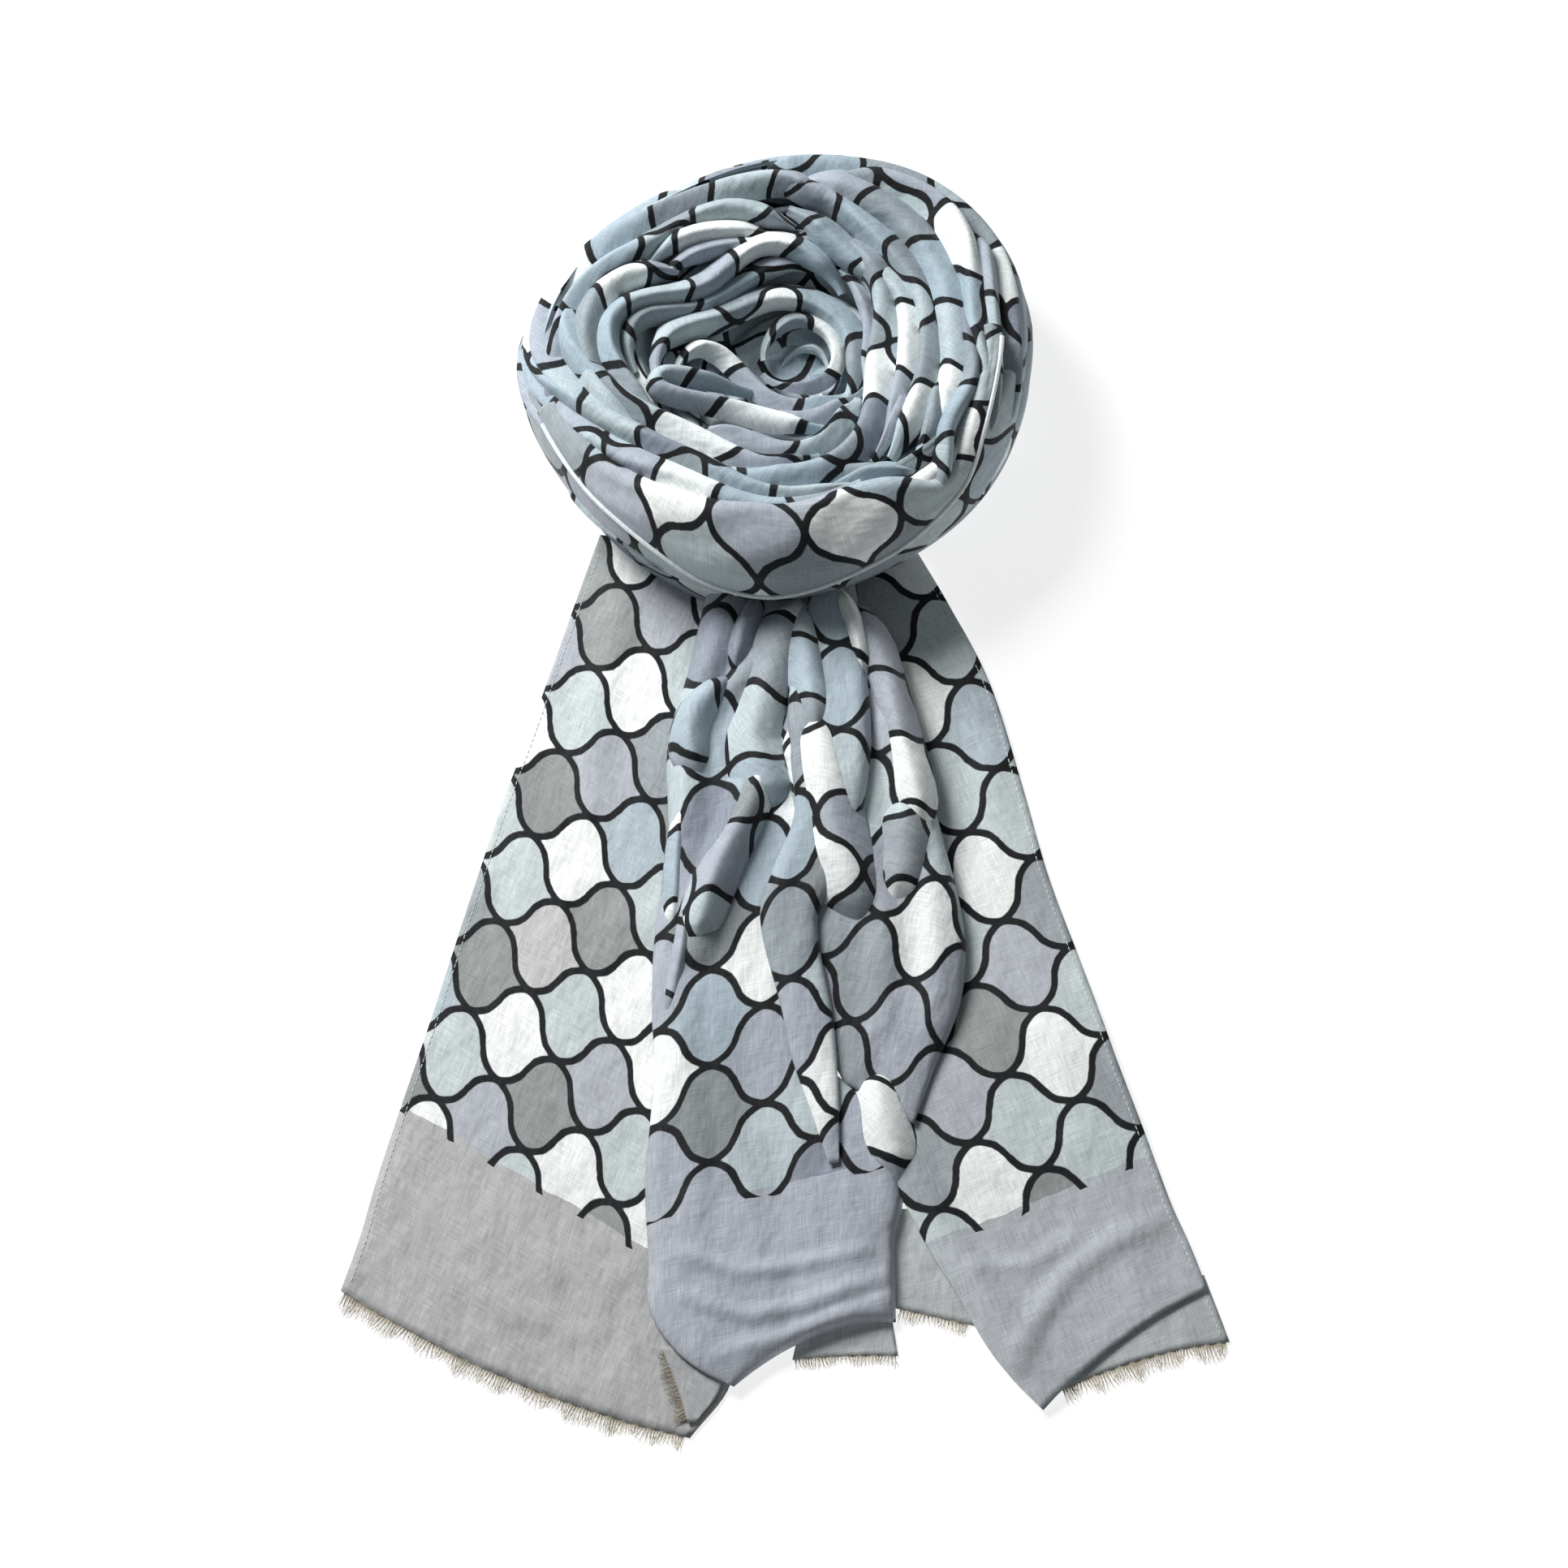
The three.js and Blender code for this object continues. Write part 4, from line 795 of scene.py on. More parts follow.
class Cloth:
    """Mesh of one piece: grids of cloth, each with its place on the flat cloth as UV."""

    def __init__(self, name):
        self.name = name
        self.bm = bmesh.new()
        self.uv = self.bm.loops.layers.uv.new("cloth")
        self.flat_area = 0

    def grid(self, columns, rows, place):
        made = bmesh.ops.create_grid(self.bm, x_segments=columns, y_segments=rows, size=0.5)
        flat = {}
        faces = set()
        for vert in made["verts"]:
            point, cloth = place(vert.co.x + 0.5, vert.co.y + 0.5)
            height = max(point[2], LOWEST)
            vert.co = ((point[0] + SHIFT[0]) * MM, (point[1] + SHIFT[1]) * MM, height * MM)
            flat[vert] = (cloth[0] * MM, cloth[1] * MM)
            faces.update(vert.link_faces)
        for face in faces:
            face.smooth = True
            corners = [flat[loop.vert] for loop in face.loops]
            for loop, corner in zip(face.loops, corners):
                loop[self.uv].uv = corner
            doubled = sum(
                a[0] * b[1] - b[0] * a[1] for a, b in zip(corners, corners[1:] + corners[:1])
            )
            self.flat_area += abs(doubled) / 2

    def finish(self, material, node, thickness=0.0):
        piece = new_piece(self.name, self.bm, material)
        if thickness:
            wall = piece.modifiers.new("cloth_thickness", "SOLIDIFY")
            wall.thickness = thickness * MM
            wall.offset = -1
        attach(piece, "root")
        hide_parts(node)
        return piece


def declare(piece, area, rests_on):
    """Only reads what a stretch of cloth rests on as a list; nothing is kept."""
    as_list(rests_on)


# Materials

def linear(colour):
    found = []
    for value in colour:
        share = value / 255
        found.append(share / 12.92 if share <= 0.04045 else ((share + 0.055) / 1.055) ** 2.4)
    return (*found, 1)


class Nodes:
    """Short ways to add nodes to a tree and join them."""

    def __init__(self, tree):
        self.tree = tree

    def add(self, kind, **settings):
        node = self.tree.nodes.new(kind)
        for key, value in settings.items():
            setattr(node, key, value)
        return node

    def join(self, source, target):
        if isinstance(source, (int, float, tuple)):
            target.default_value = source
        else:
            self.tree.links.new(source, target)

    def math(self, operation, *values):
        node = self.add("ShaderNodeMath", operation=operation)
        for socket, value in zip(node.inputs, values):
            self.join(value, socket)
        return node.outputs[0]

    def mix(self, share, a, b, blend="MIX"):
        node = self.add("ShaderNodeMix", data_type="RGBA", blend_type=blend)
        self.join(share, node.inputs[0])
        self.join(a, node.inputs[6])
        self.join(b, node.inputs[7])
        return node.outputs[2]

    def spread(self, noise, size):
        """Noise moved to lie evenly round zero and scaled."""
        return self.math("MULTIPLY", self.math("SUBTRACT", noise, 0.5), size)

    def range(self, value, low, high, to_low, to_high):
        node = self.add("ShaderNodeMapRange", interpolation_type="SMOOTHSTEP")
        for socket, entry in zip(node.inputs, (value, low, high, to_low, to_high)):
            self.join(entry, socket)
        return node.outputs[0]

    def noise(self, vector, scale, detail=2.0, roughness=0.5):
        node = self.add("ShaderNodeTexNoise")
        self.join(vector, node.inputs["Vector"])
        node.inputs["Scale"].default_value = scale
        node.inputs["Detail"].default_value = detail
        node.inputs["Roughness"].default_value = roughness
        return node.outputs["Fac"]

    def bump(self, height, strength, distance):
        node = self.add("ShaderNodeBump")
        node.inputs["Strength"].default_value = strength
        node.inputs["Distance"].default_value = distance
        self.join(height, node.inputs["Height"])
        return node

    def stretched(self, vector, factors):
        node = self.add("ShaderNodeVectorMath", operation="MULTIPLY")
        self.join(vector, node.inputs[0])
        node.inputs[1].default_value = factors
        return node.outputs[0]


def new_group(name, inputs, outputs):
    tree = bpy.data.node_groups.new(name, "ShaderNodeTree")
    for label, kind in inputs:
        tree.interface.new_socket(label, in_out="INPUT", socket_type=kind)
    for label, kind in outputs:
        tree.interface.new_socket(label, in_out="OUTPUT", socket_type=kind)
    return tree, Nodes(tree), tree.nodes.new("NodeGroupInput"), tree.nodes.new("NodeGroupOutput")


def print_group():
    """Wavy lattice: its dark line and the number of the cell, from a place on the cloth."""
    tree, n, start, end = new_group(
        "wavy_lattice",
        [("Cloth", "NodeSocketVector"), ("Row step", "NodeSocketFloat")],
        [("Line", "NodeSocketFloat"), ("Cell", "NodeSocketFloat")],
    )
    place = n.add("ShaderNodeSeparateXYZ")
    n.join(start.outputs["Cloth"], place.inputs[0])
    uneven = n.spread(n.noise(start.outputs["Cloth"], WANDERS_PER_METRE), LINE_WANDER)
    across = n.math("ADD", place.outputs[0], uneven)
    along = place.outputs[1]
    scale = 1 / (math.sqrt(2) * REPEAT)
    p = n.math("MULTIPLY", n.math("ADD", across, along), scale)
    q = n.math("MULTIPLY", n.math("SUBTRACT", along, across), scale)

    def waved(value, other):
        wave = n.math("SINE", n.math("MULTIPLY", other, 2 * math.pi))
        return n.math("ADD", value, n.math("MULTIPLY", wave, WAVE))

    waved_p, waved_q = waved(p, q), waved(q, p)

    def to_line(value):
        return n.math("ABSOLUTE", n.math("SUBTRACT", value, n.math("ROUND", value)))

    nearest = n.math("SMOOTH_MIN", to_line(waved_p), to_line(waved_q), CORNER_JOIN)
    half = LINE_WIDTH / REPEAT / 2
    line = n.range(nearest, half + LINE_EDGE[0], half + LINE_EDGE[1], 1.0, 0.0)
    column_number = n.math("FLOOR", waved_p)
    row_number = n.math("SUBTRACT", n.math("MULTIPLY", n.math("FLOOR", waved_q), -1.0), 1.0)
    count = n.math("ADD", column_number, n.math("MULTIPLY", row_number, start.outputs["Row step"]))
    number = n.math("FLOORED_MODULO", count, float(CELLS_IN_CHART))
    cell = n.math("DIVIDE", n.math("ADD", number, 0.5), float(CELLS_IN_CHART))
    n.join(line, end.inputs["Line"])
    n.join(cell, end.inputs["Cell"])
    return tree


def weave_group():
    """Plain weave with slubs: colour, roughness and bump, from a place on the cloth."""
    tree, n, start, end = new_group(
        "slub_weave",
        [("Cloth", "NodeSocketVector"), ("Colour", "NodeSocketColor")],
        [("Colour", "NodeSocketColor"), ("Roughness", "NodeSocketFloat"),
         ("Normal", "NodeSocketVector")],
    )
    cloth = start.outputs["Cloth"]
    warp = n.noise(n.stretched(cloth, (THREADS_PER_METRE, SLUBS_PER_METRE, 1)), 1.0, 2.0, 0.6)
    weft = n.noise(n.stretched(cloth, (SLUBS_PER_METRE, THREADS_PER_METRE, 1)), 1.0, 2.0, 0.6)
    clouds = n.noise(cloth, CLOUDS_PER_METRE, 3.0, 0.6)
    threads = n.math("ADD", n.math("MULTIPLY", warp, 0.5), n.math("MULTIPLY", weft, 0.5))
    shade = n.math("ADD", n.spread(threads, THREAD_CONTRAST), n.spread(clouds, CLOUD_CONTRAST))
    lit = n.math("ADD", shade, 1.0)
    tint = n.add("ShaderNodeCombineXYZ")
    for socket in tint.inputs:
        n.join(lit, socket)
    colour = n.mix(1.0, start.outputs["Colour"], tint.outputs[0], "MULTIPLY")
    rough = n.range(threads, 0.3, 0.7, 0.82, 0.68)
    crumple = n.noise(n.stretched(cloth, CRUMPLES_PER_METRE), 1.0, 3.0, 0.5)
    soft = n.bump(crumple, 0.8, CRUMPLE_DEPTH)
    fine = n.bump(threads, 0.5, THREAD_DEPTH)
    n.join(soft.outputs[0], fine.inputs["Normal"])
    n.join(colour, end.inputs["Colour"])
    n.join(rough, end.inputs["Roughness"])
    n.join(fine.outputs[0], end.inputs["Normal"])
    return tree


LATTICE = print_group()
WEAVE = weave_group()


def use_group(n, tree, **inputs):
    node = n.add("ShaderNodeGroup")
    node.node_tree = tree
    for key, value in inputs.items():
        n.join(value, node.inputs[key.replace("_", " ")])
    return node


def new_material(name):
    material = bpy.data.materials.new(name)
    material.use_nodes = True
    return material, Nodes(material.node_tree), material.node_tree.nodes["Principled BSDF"]


def cloth_material(name, chart):
    """Printed cloth: the chart's tones in the lattice's cells, darkened by painted shade, the plain
    band, and the weave.
    """
    material, n, shader = new_material(name)
    cloth = n.add("ShaderNodeUVMap", uv_map="cloth").outputs[0]
    place = n.add("ShaderNodeSeparateXYZ")
    n.join(cloth, place.inputs[0])
    lattice = use_group(n, LATTICE, Cloth=cloth, Row_step=float(chart["row_step"]))
    ramp = n.add("ShaderNodeValToRGB")
    tones = chart["tones"].split()
    stops = ramp.color_ramp
    stops.interpolation = "CONSTANT"
    while len(stops.elements) < len(tones):
        stops.elements.new(1)
    for k, tone in enumerate(tones):
        stops.elements[k].position = k / len(tones)
        # Painted shade: each tone is darkened by the chart's depth, white cells less
        kept = WHITE_KEPT if tone == "white" else 0
        shaded_tone = [value * mix(share, 1, kept) for value, share in zip(TONES[tone], chart["depth"])]
        stops.elements[k].color = linear(shaded_tone)
    n.join(lattice.outputs["Cell"], ramp.inputs[0])
    ragged = n.spread(n.noise(cloth, 60), BAND_WANDER)
    height = n.math("ADD", place.outputs[1], ragged)
    printed = n.math("GREATER_THAN", height, chart["band"])
    ground = n.mix(printed, linear(chart["band_tone"]), ramp.outputs[0])
    inked = n.math("GREATER_THAN", height, chart["band"] - BAND_LINE)
    line = n.math("MULTIPLY", lattice.outputs["Line"], inked)
    coloured = n.mix(line, ground, linear(INK))
    weave = use_group(n, WEAVE, Cloth=cloth, Colour=coloured)
    n.join(weave.outputs["Colour"], shader.inputs["Base Color"])
    n.join(weave.outputs["Roughness"], shader.inputs["Roughness"])
    n.join(weave.outputs["Normal"], shader.inputs["Normal"])
    shader.inputs["Sheen Weight"].default_value = 0.12
    shader.inputs["Sheen Roughness"].default_value = 0.4
    shader.inputs["Specular IOR Level"].default_value = 0.3
    return material


def thread_material(name, colour, roughness):
    """Thread: its colour mottled lighter and deeper, with a fine bump."""
    material, n, shader = new_material(name)
    place = n.add("ShaderNodeTexCoord").outputs["Object"]
    mottled = n.noise(place, 420, 2.0, 0.6)
    pale = tuple(min(value * 1.12, 255) for value in colour)
    deep = tuple(value * 0.86 for value in colour)
    tint = n.mix(mottled, linear(deep), linear(pale))
    n.join(tint, shader.inputs["Base Color"])
    n.join(n.range(mottled, 0.3, 0.7, roughness - 0.08, roughness + 0.06), shader.inputs["Roughness"])
    bump = n.bump(n.noise(place, 1800), 0.4, 0.0002)
    n.join(bump.outputs[0], shader.inputs["Normal"])
    shader.inputs["Sheen Weight"].default_value = 0.25
    return material


PRINTS = {
    name: cloth_material("printed_" + name, {**CHART, **chart}) for name, chart in CHARTS.items()
}
frayed = thread_material("frayed_thread", THREAD, 0.85)
stitched = thread_material("hem_stitch", STITCH, 0.7)


# Rounded folds: half the turn of a tube, how wide and how flat a soft fold is, its height for
# its width and at most, the stretches over which its ends get narrow and sink in, the slant of
# the print on it, and the grid along and across it. Sines of unlike pace make a fold uneven
FOLD_SAMPLES = 80
TUBE_TURN = math.radians(112)
SOFT_REACH = 1.35
SOFT_POWER = 1.8
HEIGHT_SHARE = 1.9
FULLEST = 14
NARROW_END = 30
END_WIDTH = 0.35
SUNK_END = 22
END_SINK = 8
SLANT = 45
SLANT_CHANGE = 28
FOLD_CELL = 1.6
FOLD_COLUMNS = 18


def steadied(points):
    """The same line with its small turns evened out, its ends kept."""
    inner = [
        tuple((a + 2 * b + c) / 4 for a, b, c in zip(*three))
        for three in zip(points, points[1:], points[2:])
    ]
    return [points[0], *inner, points[-1]]


def bun_line(points):
    """Functions for the middle of a fold on the bun and for the way out of the bun there."""
    steady = steadied(steadied(unwrapped(points)))

    def middle(share):
        return envelope(*smooth_line(steady, share))

    def outward(share):
        degrees, reach = smooth_line(steady, share)
        round_bun = envelope(degrees + 1, reach) - envelope(degrees - 1, reach)
        out_bun = envelope(degrees, reach + 0.01) - envelope(degrees, max(reach - 0.01, 0.012))
        return out_bun.cross(round_bun).normalized()

    return middle, outward


def fan_line(points):
    """Functions for the middle of a fold on the fan and for the way up from it."""

    def middle(share):
        return Vector(smooth_line(points, share))

    def outward(share):
        return Vector((0, 0, 1))

    return middle, outward


def fold_section(kind, turned, half, height):
    """Place across a fold, its height and the cloth's length to there, for -1 to 1 across."""
    if kind == "tube":
        angle = turned * TUBE_TURN
        return half * math.sin(angle), height * (math.cos(angle) - 1), half * angle
    offset = half * SOFT_REACH * turned
    drop = height * abs(turned) ** SOFT_POWER
    return offset, -drop, math.copysign(math.hypot(offset, drop), turned)


def fold_place(number, chart, fold, line_kind):
    """Function that places a grid as one rounded fold along its line, and the line's length."""
    middle, outward = line_kind(fold["line"])
    samples = [middle(k / FOLD_SAMPLES) for k in range(FOLD_SAMPLES + 1)]
    total = sum((b - a).length for a, b in zip(samples, samples[1:]))
    cells = [k for k, tone in enumerate(chart["tones"].split()) if tone == fold["tone"]]
    cell = cells[number % len(cells)]
    start = ((cell + 1) * HALF_DIAGONAL / MM, cell * HALF_DIAGONAL / MM)
    slant = math.radians(SLANT + SLANT_CHANGE * math.sin(number * 1.9))
    half = fold["width"] / 2
    full_height = min(half * HEIGHT_SHARE, FULLEST)
    frames = {}

    def frame_at(along):
        if along not in frames:
            ahead, behind = middle(min(along + 0.03, 1)), middle(max(along - 0.03, 0))
            tangent = (ahead - behind).normalized()
            normal = outward(along)
            frames[along] = middle(along), tangent.cross(normal).normalized(), normal
        return frames[along]

    def place(across, along):
        here, side, normal = frame_at(round(along, 6))
        travelled = along * total
        ends = min(along, 1 - along) * total
        taper = mix(END_WIDTH, 1, ease(ends / NARROW_END))
        width = half * taper * (1 + 0.07 * math.sin(travelled / 13 + number))
        offset, rise, cloth_across = fold_section(
            fold.get("kind", "soft"), across * 2 - 1, width, full_height * taper)
        offset += 0.7 * math.sin(travelled / 15 + number * 1.7)
        rise += fold["lift"] - END_SINK * (1 - ease(ends / SUNK_END))
        rise += 0.6 * math.sin(travelled / 17 + number * 2.3)
        rise += 0.3 * math.sin(across * 13 + travelled / 12 + number)
        lengthwise = travelled - fold["at"] * total
        cloth = (
            start[0] + cloth_across * math.cos(slant) + lengthwise * math.sin(slant),
            start[1] - cloth_across * math.sin(slant) + lengthwise * math.cos(slant),
        )
        return here + side * offset + normal * rise, cloth

    return place, total


def add_folds(made, chart, folds, line_kind):
    for number, row in enumerate(folds):
        place, total = fold_place(number, chart, dict(zip(FOLD_KEYS, row)), line_kind)
        made.grid(FOLD_COLUMNS, max(int(total / FOLD_CELL), 10), place)


# The fan

def cloth_place(cloth, x, y):
    sx, sy = x + SHIFT[0], y + SHIFT[1]
    return tuple(a * sx + b * sy + c for a, b, c in cloth)


def dress_panel(panel):
    """A panel's piece with its folds, and its area on the flat cloth."""
    made = Cloth(panel["node"] + "_cloth")
    length = panel_length(panel["rows"])
    hem_is_frayed = any(f["on"] == made.name and f["edge"] == "hem" for f in FRINGES)

    def place(across, along):
        share = across ** FINER_LEFT if panel["rolls"][0] else across
        x, y, z = panel_point(panel["rows"], panel["ridges"], panel["rolls"], share, along)
        if hem_is_frayed:
            z = mix(LOWEST, z, ease(along * length / HEM_FALL))
        return (x, y, z), cloth_place(panel["cloth"], x, y)

    made.grid(*panel["cells"], place)
    add_folds(made, CHARTS[panel["print"]], FAN_FOLDS.get(panel["node"], []), fan_line)
    area = made.flat_area
    return made.finish(PRINTS[panel["print"]], panel["node"], CLOTH_THICKNESS), area


PANELS = [{**PLAIN_PANEL, **panel} for panel in PANELS]
dressed_panels = [dress_panel(panel) for panel in PANELS]


def thread(bm, root, out, length, width, lean, drop):
    """Fine frayed thread: a thin tapered strip of three sides, bent to the side and down."""
    side = Vector((-out.y, out.x, 0))
    rings = []
    for share in (0, 1 / 3, 2 / 3, 1):
        centre = root + out * (length * share) + side * (lean * share * share)
        centre.z += drop * share * share
        half = width * (1 - 0.6 * share)
        ring = [centre + side * half, centre - side * half, centre + Vector((0, 0, half * 1.6))]
        rings.append([bm.verts.new(point * MM) for point in ring])
    skin(bm, rings)


def fringe_piece(fringe, number):
    """Threads along an edge, each with its own length, lean and drop."""
    bm = bmesh.new()
    side = 1 if fringe["edge"] == "hem" else -1

    def edge_point(share):
        across, along = (share, 0) if fringe["edge"] == "hem" else (0, share)
        point = panel_point(fringe["rows"], [], (0, 0, 0), across, along)
        return Vector((point[0] + SHIFT[0], point[1] + SHIFT[1], 0))

    for k in range(fringe["threads"]):
        share = mix(fringe["from"], fringe["to"], (k + 0.5) / fringe["threads"])
        ahead = edge_point(min(share + 0.02, 1)) - edge_point(max(share - 0.02, 0))
        out = Vector((ahead.y * side, -ahead.x * side, 0)).normalized()
        # Sines of unlike pace make the threads uneven
        wave = math.sin(k * 2.399 + number) * 0.3 + math.sin(k * 0.11 + number * 2) * 0.25
        wave += math.sin(k * 0.037 + number) * 0.2
        length = fringe["length"] * (1.3 + wave)
        lean = 1.5 * math.sin(k * 1.37 + number) + 1.2 * math.sin(k * 0.19)
        drop = 0.7 * math.sin(k * 5.1) - 0.2
        root = edge_point(share) - out * THREAD_ROOT
        root.z = fringe["low"] + 0.5 * math.sin(k * 3.3) ** 2
        width = THREAD_WIDTH + 0.06 * math.sin(k * 7.7)
        thread(bm, root, out, length, width, lean, max(drop, THREAD_LOWEST - root.z))
    bmesh.ops.recalc_face_normals(bm, faces=bm.faces)
    piece = new_piece(fringe["node"] + "_threads", bm, frayed)
    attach(piece, "root")
    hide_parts(fringe["node"])
    return piece


fringe_pieces = {f["on"]: fringe_piece(f, k) for k, f in enumerate(FRINGES)}


# The bun

def mean_reach(fold):
    line = fold[FOLD_KEYS.index("line")]
    return sum(reach for _, reach in line) / len(line)


def dress_turn(turn):
    """A turn of the roll with its folds."""
    made = Cloth(turn["node"] + "_cloth")
    shape = outer_point if turn["node"] == "outer_turn" else turn_point
    span = turn["to"] - turn["from"]
    middle = [shape(turn, turn["from"] + span / 2, k / 60) for k in range(61)]
    width = sum((b - a).length for a, b in zip(middle, middle[1:]))

    def place(across, along):
        step = turn["from"] + span * along
        return shape(turn, step, across), ((across - 0.5) * width, length_to(step))

    made.grid(TURN_COLUMNS, span * ROWS_PER_STEP, place)
    low, high = turn["folds"]
    folds = [fold for fold in BUN_FOLDS if low <= mean_reach(fold) < high]
    add_folds(made, CHARTS["bun"], folds, bun_line)
    area = made.flat_area
    declare(made.finish(PRINTS["bun"], turn["node"]), area, [])


for turn in TURNS:
    dress_turn(turn)


def core_place(across, along):
    """The eye: from its sunken middle (0) out to the first turn (1), nearly once round."""
    step = (STEPS_PER_TURN - 1) * along
    rho = rho_at(step) * across
    z = smooth_between(CREST, rho_at(step))[1] - CORE_DROP + 3.5 * math.sin(step * 0.5) ** 2
    height = mix(CORE_MIDDLE, z, across * across)
    point = bun_point(max(rho, 0.001), degrees_at(step), height)
    return point, (point.x, point.y)


made = Cloth("eye_core_cloth")
made.grid(10, 90, core_place)
core_area = made.flat_area
core = made.finish(PRINTS["bun"], "eye_core")
declare(core, core_area, ["eye_coil_cloth"])


def wrap_place(layer, across, along, above=0):
    """A layer of the front wrap from its low edge (0) up to its top fold and over it (1)."""
    rows = layer["rows"]
    degrees = mix(rows[0][0], rows[-1][0], along)
    _, top, low = smooth_between(rows, degrees)
    share = clamp(across / (1 - TURN_IN), 0, 1)
    over = clamp((across - (1 - TURN_IN)) / TURN_IN, 0, 1) * math.pi / 2
    angle = mix(low, top, share) - TURN_IN_ANGLE * math.sin(over)
    ends = ease(min(along, 1 - along) / WRAP_END)
    fullness = ease(share * 2.5) * ends * clamp((low - top) / FULL_WRAP_ANGLE, 0, 1)
    waves = math.sin(degrees * 0.09 + share * 5) + 0.7 * math.sin(degrees * 0.21 - share * 7)
    rise = layer["lift"] + above + layer["bulge"] * fullness * (1 + 0.35 * waves)
    rise -= TURN_IN_DEPTH * (1 - math.cos(over))
    rho, outward, z = side_section(angle, -rise)
    tall = math.radians(WRAP_LOW - angle) * SIDE_RADIUS
    arc = WRAP_RADIUS * math.radians(degrees - WRAP_START)
    cloth = tuple(a * tall + b * arc + c + layer["start"] for a, b, c in WRAP_CLOTH)
    return bun_point(rho, degrees, z, outward), cloth


made = Cloth("front_band_cloth")
made.grid(30, 150, lambda across, along: wrap_place(UNDER_LAYER, across, along))
made.grid(36, 240, lambda across, along: wrap_place(UPPER_LAYER, across, along))
band_area = made.flat_area
band_piece = made.finish(PRINTS["wrap"], "front_band", CLOTH_THICKNESS)


# Stitches along the selvedges

def raised_from(along):
    """Up and sideways on the cloth at a point of a line that runs along."""
    up = (STITCH_UP - along * STITCH_UP.dot(along)).normalized()
    return up, up.cross(along).normalized()


def stitch(bm, centre, along):
    """One short stitch, a low block with a smaller top."""
    up, side = raised_from(along)
    half_length, half_width = along * (STITCH_LENGTH / 2), side * (STITCH_WIDTH / 2)
    low = centre + up * STITCH_LIFT
    high = low + up * (STITCH_WIDTH * 0.6)
    corners = ((-1, -1), (1, -1), (1, 1), (-1, 1))
    foot = [bm.verts.new(low + half_length * a + half_width * b) for a, b in corners]
    top = [bm.verts.new(high + half_length * a * 0.7 + half_width * b * 0.5) for a, b in corners]
    skin(bm, [foot, top])


def stitch_line(bm, point_at):
    """Short stitches at an even pitch along a line, each laid on the cloth under it."""
    samples = [point_at(k / 600) for k in range(601)]
    travelled = 0
    for a, b in zip(samples, samples[1:]):
        travelled += (b - a).length
        if travelled >= STITCH_PITCH:
            travelled -= STITCH_PITCH
            stitch(bm, a, (b - a).normalized())


def pale_edge(bm, point_at):
    """Narrow raised hem along a selvedge, round on top."""
    half = PALE_EDGE_WIDTH / 2
    rings = []
    for k in range(301):
        share = k / 300
        ahead, behind = point_at(min(share + 0.004, 1)), point_at(max(share - 0.004, 0))
        up, side = raised_from((ahead - behind).normalized())
        here = point_at(share)
        rings.append([
            bm.verts.new(here + side * (math.cos(math.radians(a)) * half)
                         + up * (math.sin(math.radians(a)) * half))
            for a in (0, 45, 90, 135, 180, 270)
        ])
    skin(bm, rings)


def selvedge_line(selvedge):
    """Function for the line of stitches along one side of a panel."""
    panel = next(p for p in PANELS if p["node"] == selvedge["node"])

    def point_at(share):
        along = mix(selvedge["from"], selvedge["to"], share)
        at = smooth_between(panel["rows"], along)
        inset = HEM_INSET / math.hypot(at[3] - at[1], at[4] - at[2])
        across = inset if selvedge["side"] == "left" else 1 - inset
        return Vector(panel_point(panel["rows"], panel["ridges"], panel["rolls"], across, along))

    return point_at


def wrap_edge(share):
    """The upper layer's selvedge, on the outer face of its cloth."""
    return wrap_place(UPPER_LAYER, 0.01, mix(0.02, 0.98, share), PALE_EDGE_LIFT)[0]


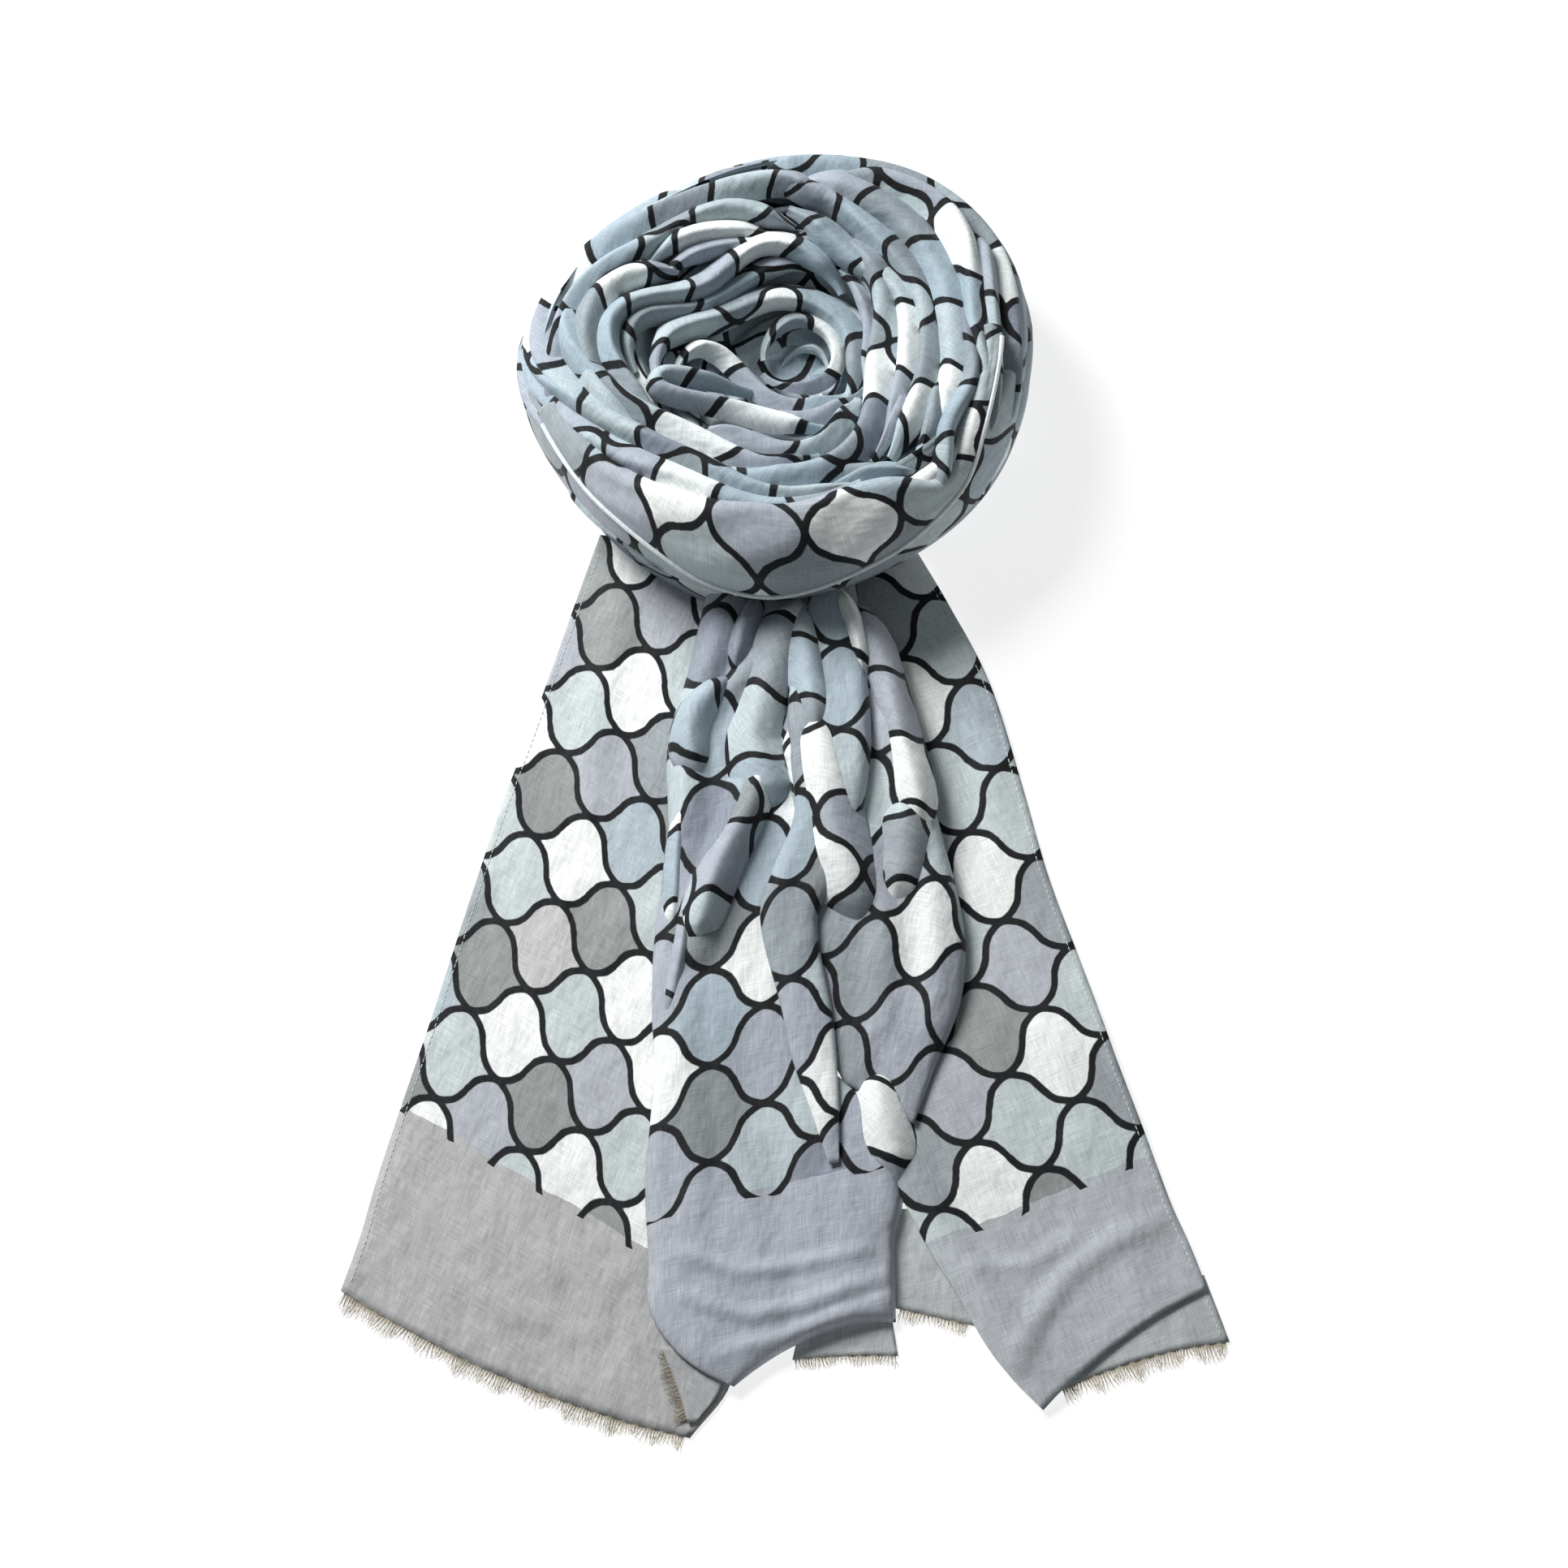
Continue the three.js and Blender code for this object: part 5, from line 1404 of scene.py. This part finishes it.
stitches = bmesh.new()
for selvedge in SELVEDGES:
    stitch_line(stitches, selvedge_line(selvedge))
stitch_line(stitches, wrap_edge)
pale_edge(stitches, wrap_edge)
for vert in stitches.verts:
    vert.co = ((vert.co.x + SHIFT[0]) * MM, (vert.co.y + SHIFT[1]) * MM, vert.co.z * MM)
bmesh.ops.recalc_face_normals(stitches, faces=stitches.faces)
stitch_piece = new_piece("selvedge_stitches", stitches, stitched)
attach(stitch_piece, "root")

declare(band_piece, band_area,
        ["outer_turn_cloth"])
for panel, (piece, area) in zip(PANELS, dressed_panels):
    declare(piece, area, panel["on"])


# Floor, light and camera

def plain_material(name, colour, roughness, glow):
    material, _, shader = new_material(name)
    shader.inputs["Base Color"].default_value = linear(colour)
    shader.inputs["Roughness"].default_value = roughness
    shader.inputs["Specular IOR Level"].default_value = 0.1
    shader.inputs["Emission Color"].default_value = linear(colour)
    shader.inputs["Emission Strength"].default_value = glow
    return material


floor_bm = bmesh.new()
bmesh.ops.create_grid(floor_bm, x_segments=1, y_segments=1, size=FLOOR_HALF)
floor = new_piece("floor", floor_bm, plain_material("pale_floor", FLOOR, 0.9, FLOOR_GLOW))


def area_light(name, location, target, size, power):
    light = bpy.data.lights.new(name, "AREA")
    light.size = size
    light.energy = power
    lamp = bpy.data.objects.new(name, light)
    lamp.location = location
    direction = Vector(target) - Vector(location)
    lamp.rotation_euler = direction.to_track_quat("-Z", "Y").to_euler()
    bpy.context.scene.collection.objects.link(lamp)


area_light("window", WINDOW, WINDOW_AIM, WINDOW_SIZE, WINDOW_POWER)
world = bpy.data.worlds.new("studio")
world.use_nodes = True
world.node_tree.nodes["Background"].inputs[0].default_value = SKY
world.node_tree.nodes["Background"].inputs[1].default_value = SKY_STRENGTH
bpy.context.scene.world = world
bpy.context.scene.view_settings.view_transform = "Standard"

camera = bpy.data.objects.new("camera", bpy.data.cameras.new("camera"))
camera.data.sensor_width = SENSOR
camera.data.lens = FOCAL_PIXELS / PHOTO_PIXELS * SENSOR
camera.location = CAMERA
camera.rotation_euler = (math.radians(CAMERA_TILT), 0, 0)
bpy.context.scene.collection.objects.link(camera)
bpy.context.scene.camera = camera
